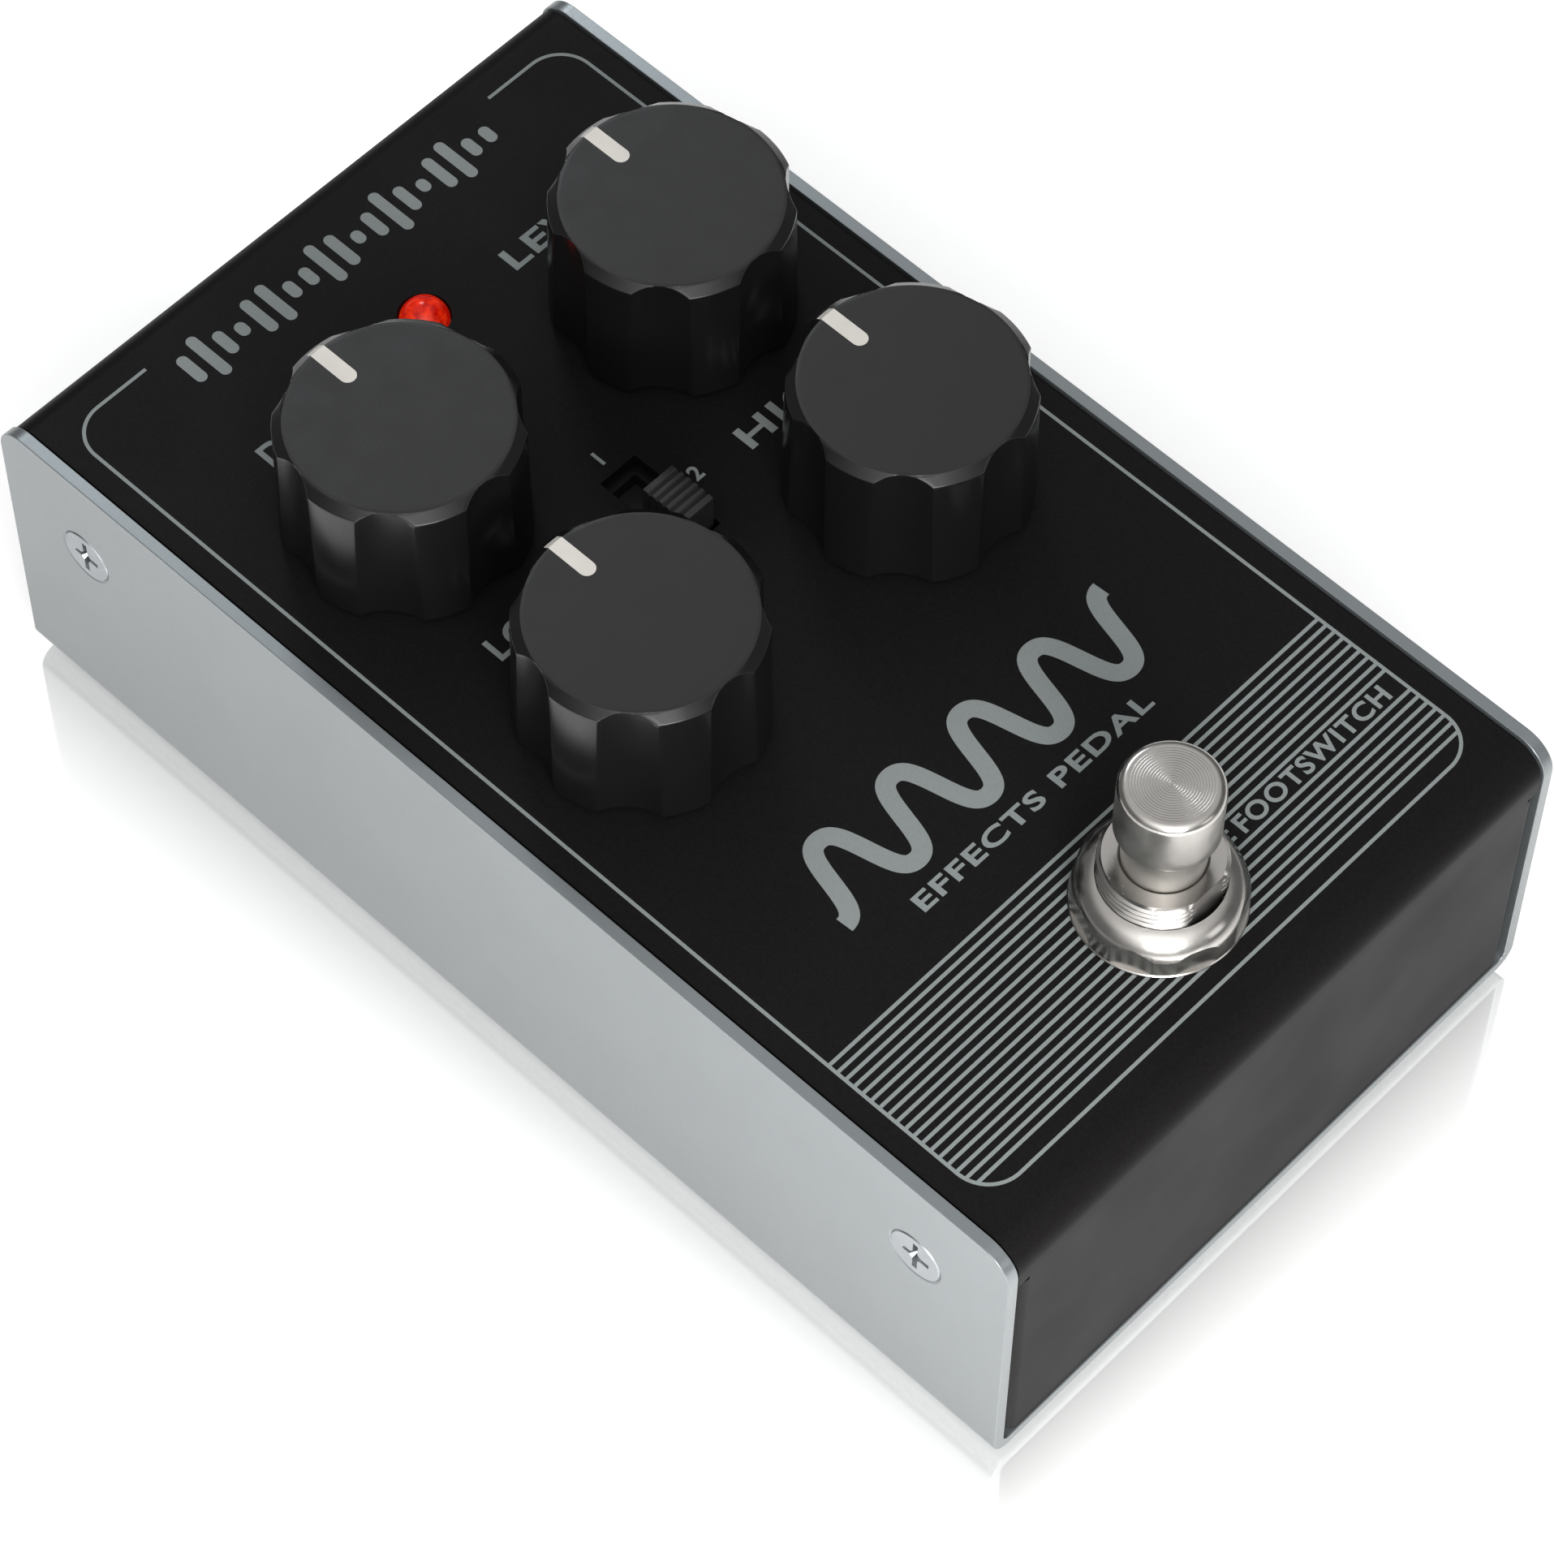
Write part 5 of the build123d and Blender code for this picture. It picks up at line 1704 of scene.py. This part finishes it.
@dataclass
class Footswitch:
    """The plunger, threaded bushing, dress nut and washer of the footswitch."""

    cap_height: float = 6.7
    cap_round: float = 0.95
    cap_edge: float = 0.12
    cap_wall: float = 1.0
    columns: int = 112
    face_rows: int = 110
    thread_rows: int = 84
    dome_rows: int = 14
    neck_radius: float = 3.94
    neck_length: float = 15.6
    rod_radius: float = 1.5
    ring_pitch: float = 0.26
    ring_depth: float = 0.019
    bushing_radius: float = 6.0
    bore_radius: float = 4.0
    thread_pitch: float = 0.75
    thread_depth: float = 0.34
    thread_length: float = 4.4
    bushing_flat: float = 5.3
    bushing_chamfer: float = 0.4
    bushing_edge: float = 0.1
    nut_bore: float = 6.05
    nut_radius: float = 8.15
    nut_flat: float = 7.87
    nut_sides: int = 8
    nut_side_height: float = 2.05
    nut_crown: float = 0.3
    nut_foot: float = 0.4
    nut_edge: float = 0.12
    nut_columns: int = 16
    washer_edges: Pair = (0.08, 0.1)
    washer_land: float = 0.3
    washer_columns: int = 96

    def placed(
        self, name: str, body: str, node: str, mesh: bpy.types.Mesh, sharp: float = 38.0,
    ) -> None:
        """One bright piece on the footswitch's axis.

        Args:
            name: The piece's name.
            body: The body that it rides.
            node: The CAD node that it replaces.
            mesh: Its mesh, with the axis at x = y = 0.
            sharp: The angle in degrees above which an edge shows sharp.
        """
        low, high = box_mm("footswitch_plunger")
        middle = (low + high) / 2
        centre = (middle.x, middle.y, 0.0)
        Piece(name, body, "bright_nickel", mesh, (node,), centre, sharp=sharp).make()

    def plunger(self) -> None:
        """The cap with its turned rings, the neck and the rod."""
        low, high = box_mm("footswitch_plunger")
        cap = (high.x - low.x) / 2
        cap_low = high.z - self.cap_height
        shoulder = cap_low - self.neck_length
        round_centre = (cap - self.cap_round, high.z - self.cap_round)
        edge = self.cap_edge
        rows = plain_rows([
            (0.0, low.z), (self.rod_radius, low.z), (self.rod_radius, shoulder),
            (self.neck_radius, shoulder), (self.neck_radius, cap_low), (cap - edge, cap_low),
            (cap - edge / 4, cap_low + edge / 4), (cap, cap_low + edge), (cap, cap_low + self.cap_wall),
            *arc(round_centre, self.cap_round, 0.0, 90.0, self.dome_rows),
        ])
        face = cap - self.cap_round
        steps = self.face_rows
        rows += [(face * (1 - i / steps), high.z, i < steps) for i in range(1, steps + 1)]
        mesh = Turning(
            rows, BY_SLOT["bright_nickel"], Cut.RINGED, columns=self.columns, pitch=self.ring_pitch,
            depth=self.ring_depth,
        ).mesh()
        self.placed("footswitch_cap", "footswitch", "footswitch_plunger", mesh)

    def bushing(self) -> None:
        """The threaded barrel with one flat."""
        low, high = box_mm("footswitch_bushing")
        root = self.bushing_radius - 0.02
        thread_low = high.z - self.thread_length
        chamfer, edge = self.bushing_chamfer, self.bushing_edge
        rows = plain_rows([
            (self.bore_radius, high.z - edge), (self.bore_radius, low.z), (root, low.z),
            (root, thread_low),
        ])
        steps = self.thread_rows
        top = high.z - chamfer
        for i in range(steps + 1):
            rows.append((self.bushing_radius, thread_low + (top - thread_low) * i / steps, True))
        rows += plain_rows([
            (self.bushing_radius - chamfer, high.z), (self.bushing_radius - chamfer - edge, high.z),
            (self.bore_radius + 1.5 * edge, high.z), (self.bore_radius, high.z - edge),
        ])
        mesh = Turning(
            rows, BY_SLOT["bright_nickel"], Cut.THREADED, columns=self.columns,
            pitch=self.thread_pitch, depth=self.thread_depth, flat=self.bushing_flat,
        ).mesh()
        self.placed("footswitch_thread", "case", "footswitch_bushing", mesh, 30.0)

    def nut(self) -> None:
        """The dress nut: eight flats below a polished dome."""
        low, high = box_mm("footswitch_nut")
        side = low.z + self.nut_side_height
        start, end = Vector((self.nut_radius, side)), Vector((self.nut_bore, high.z))
        middle = (start + end) / 2 + Vector((self.nut_crown, self.nut_crown))
        edge = self.nut_edge
        rows = plain_rows([(self.nut_bore, low.z), (self.nut_radius - self.nut_foot, low.z)])
        rows += [
            (self.nut_radius - edge, low.z, True), (self.nut_radius, low.z + edge, True), (*start, True),
        ]
        bend = middle * 2 - (start + end) / 2
        for i in range(1, self.dome_rows):
            t = i / self.dome_rows
            point = start * (1 - t) ** 2 + bend * 2 * t * (1 - t) + end * t * t
            rows.append((point.x, point.y, True))
        rows += plain_rows([(*end,), (self.nut_bore, low.z)])
        mesh = Turning(
            rows, BY_SLOT["bright_nickel"], Cut.FLATTED, sectors=self.nut_sides,
            columns=self.nut_columns, start=180.0 / self.nut_sides, flat=self.nut_flat,
        ).mesh()
        self.placed("footswitch_dress_nut", "case", "footswitch_nut", mesh, 9.0)

    def washer(self) -> None:
        """The flat washer under the dress nut."""
        low, high = box_mm("footswitch_washer")
        rim = (high.x - low.x) / 2
        under, over = self.washer_edges
        rows = plain_rows([
            (self.nut_bore, low.z), (rim - under, low.z), (rim, low.z + under), (rim, high.z - over),
            (rim - over, high.z), (rim - self.washer_land, high.z), (self.nut_bore, high.z),
            (self.nut_bore, low.z),
        ])
        mesh = Turning(rows, BY_SLOT["bright_nickel"], columns=self.washer_columns).mesh()
        self.placed("footswitch_dress_washer", "case", "footswitch_washer", mesh)

    def build(self) -> None:
        """Builds the footswitch's visible pieces."""
        self.plunger()
        self.bushing()
        self.nut()
        self.washer()


# ---- rear sockets -----------------------------------------------------------------------------


@dataclass
class RearSockets:
    """The nuts and washers of the two jack sockets."""

    nut_edge: float = 0.14
    washer_edge: float = 0.07

    def build(self) -> None:
        """Breaks the nuts' and the washers' edges."""
        for name, node, edge in (
            ("jack_face_nuts", "jack_nuts", self.nut_edge),
            ("jack_face_washers", "jack_washers", self.washer_edge),
        ):
            mesh = softened(merged_copy(node), edge, hard=True)
            Piece(name, "case", "bright_nickel", mesh, (node,), sharp=None).make()


# ---- pieces that keep their CAD shape ---------------------------------------------------------


class CadPieces:
    """Dresses every CAD node that is still shown."""

    def slots(self) -> dict[str, str]:
        """The slot of each node, as the record gives it."""
        return {part["node"]: part["material_slot"] for part in frame["record"]["subparts"]}

    def build(self) -> None:
        """Gives each node its finish."""
        slots = self.slots()
        for name, shown in sorted(frame["nodes"].items()):
            if shown.hide_render:
                continue
            slot = slots.get(name)
            if slot is None:
                log.warning("%s has no slot", name)
                continue
            material = BY_SLOT[slot].material()
            if shown.data.materials:
                shown.data.materials[0] = material
            else:
                shown.data.materials.append(material)
            log.info("%s: dressed in %s", name, slot)


# ---- studio -----------------------------------------------------------------------------------


@dataclass(frozen=True)
class SoftBox:
    """A square area light that looks at a point."""

    name: str
    place: Point
    target: Point
    size: float
    power: float
    colour: Colour = WHITE

    def build(self) -> None:
        """Hangs the light."""
        data = bpy.data.lights.new(self.name, "AREA")
        data.shape = "SQUARE"
        data.size = self.size
        data.energy = self.power
        data.color = self.colour
        light = bpy.data.objects.new(self.name, data)
        bpy.context.scene.collection.objects.link(light)
        light.location = self.place
        aim = Vector(self.target) - Vector(self.place)
        light.rotation_euler = aim.to_track_quat("-Z", "Y").to_euler()


@dataclass
class Studio:
    """The pale floor, the sky, the soft lights and the camera."""

    azimuth: float = -46.926
    elevation: float = 57.735
    roll: float = 0.748
    stand: Point = (-0.21572, -0.20484, 0.47347)
    lens: float = 130.166
    sensor: float = 36.0
    clip: Pair = (0.01, 20.0)
    floor_size: float = 6.0
    floor_colour: Colour = (0.93, 0.925, 0.92)
    floor_roughness: float = 0.06
    floor_specular: float = 0.2
    floor_glow: float = 0.24
    shine: float = 0.75
    shine_reach: float = 30.0
    horizon: float = 0.2
    overhead: float = 0.75
    brightening: Pair = (0.5, 0.82)
    lobe: Point = (-0.52, -0.5, 0.69)
    lobe_focus: float = 7.0
    lobe_power: float = 2.4
    boxes: tuple[SoftBox, ...] = (
        SoftBox("front_box", (-0.26, -0.42, 0.32), (-0.04, -0.09, 0.0), 0.22, 0.9),
        SoftBox("floor_box", (-0.15, -0.22, 0.13), (-0.14, -0.21, 0.0), 0.1, 1.0),
        SoftBox("right_box", (0.25, -0.85, 0.35), (0.0, 0.0, 0.04), 0.3, 0.4),
        SoftBox("back_box", (0.35, 0.57, 0.6), (0.0, 0.0, 0.03), 0.2, 1.0, (0.88, 0.95, 1.0)),
    )

    def floor(self) -> None:
        """A pale, slightly glossy sheet that reaches far past the object."""
        bm = bmesh.new()
        bmesh.ops.create_grid(bm, x_segments=8, y_segments=8, size=self.floor_size / 2)
        mesh = bpy.data.meshes.new("floor_sheet")
        bm.to_mesh(mesh)
        bm.free()
        graph = ShaderGraph("pale_floor")
        x, y, _ = graph.parts(graph.place())
        high = CAD_BOX[1] / MM
        beside = (x.of("ABSOLUTE") - high.x).of("MAXIMUM", 0.0)
        before = (y.of("ABSOLUTE") - high.y).of("MAXIMUM", 0.0)
        away = (beside * beside + before * before).of("SQRT")
        shine = 1.0 - (away / self.shine_reach).of("MINIMUM", 1.0)
        graph.set(
            Base_Color=self.floor_colour,
            Roughness=self.floor_roughness,
            Specular_IOR_Level=self.floor_specular,
            Metallic=shine * shine * self.shine,
            Emission_Color=WHITE,
            Emission_Strength=self.floor_glow,
        )
        mesh.materials.append(graph.material)
        floor = bpy.data.objects.new("floor_sheet", mesh)
        bpy.context.scene.collection.objects.link(floor)

    def sky(self) -> None:
        """Soft white light from all round, brighter overhead."""
        world = bpy.data.worlds.new("studio_sky")
        world.use_nodes = True
        graph = Graph(world.node_tree)
        world.node_tree.nodes.clear()
        x, y, height = graph.parts(graph.field("ShaderNodeTexCoord", "Generated"))
        ahead = (x * self.lobe[0] + y * self.lobe[1] + height * self.lobe[2]).of("MAXIMUM", 0.0)
        lobe = ahead.of("POWER", self.lobe_focus) * self.lobe_power
        start, end = self.brightening
        strength = lobe + graph.field("ShaderNodeMapRange", "Result", {
            "Value": height, "From Min": start, "From Max": end,
            "To Min": self.horizon, "To Max": self.overhead,
        }, interpolation_type="SMOOTHSTEP")
        light = graph.add("ShaderNodeBackground", {"Color": (*WHITE, 1.0), "Strength": strength})
        graph.add("ShaderNodeOutputWorld", {"Surface": light.outputs[0]})
        bpy.context.scene.world = world

    def camera(self) -> None:
        """The camera at its measured place and angle."""
        a, e, r = (math.radians(x) for x in (self.azimuth, self.elevation, self.roll))
        right = Vector((math.cos(a), math.sin(a), 0.0))
        back = Vector((math.sin(a) * math.cos(e), -math.cos(a) * math.cos(e), math.sin(e)))
        up = back.cross(right)
        axis_x = right * math.cos(r) + up * math.sin(r)
        axis_y = up * math.cos(r) - right * math.sin(r)
        data = bpy.data.cameras.new("camera")
        data.sensor_fit = "AUTO"
        data.sensor_width = self.sensor
        data.lens = self.lens
        data.clip_start, data.clip_end = self.clip
        camera = bpy.data.objects.new("camera", data)
        bpy.context.scene.collection.objects.link(camera)
        turn = Matrix((axis_x, axis_y, back)).transposed().to_4x4()
        camera.matrix_world = Matrix.Translation(self.stand) @ turn
        bpy.context.scene.camera = camera

    def build(self) -> None:
        """Sets up the studio."""
        bpy.context.scene.view_settings.view_transform = "Standard"
        self.camera()
        self.floor()
        self.sky()
        for box in self.boxes:
            box.build()


def main() -> None:
    """Builds the studio, then each sub-assembly in order, and dresses what keeps its CAD shape."""
    logging.basicConfig(level=logging.INFO, format="%(name)s: %(message)s")
    Studio().build()
    Case().build()
    PanelPrint().build()
    for control in ("gain", "volume", "bass", "treble"):
        Knob(control).build()
    VoiceSwitch().build()
    IndicatorLamp().build()
    Footswitch().build()
    RearSockets().build()
    CadPieces().build()


if __name__ == "__main__":
    main()
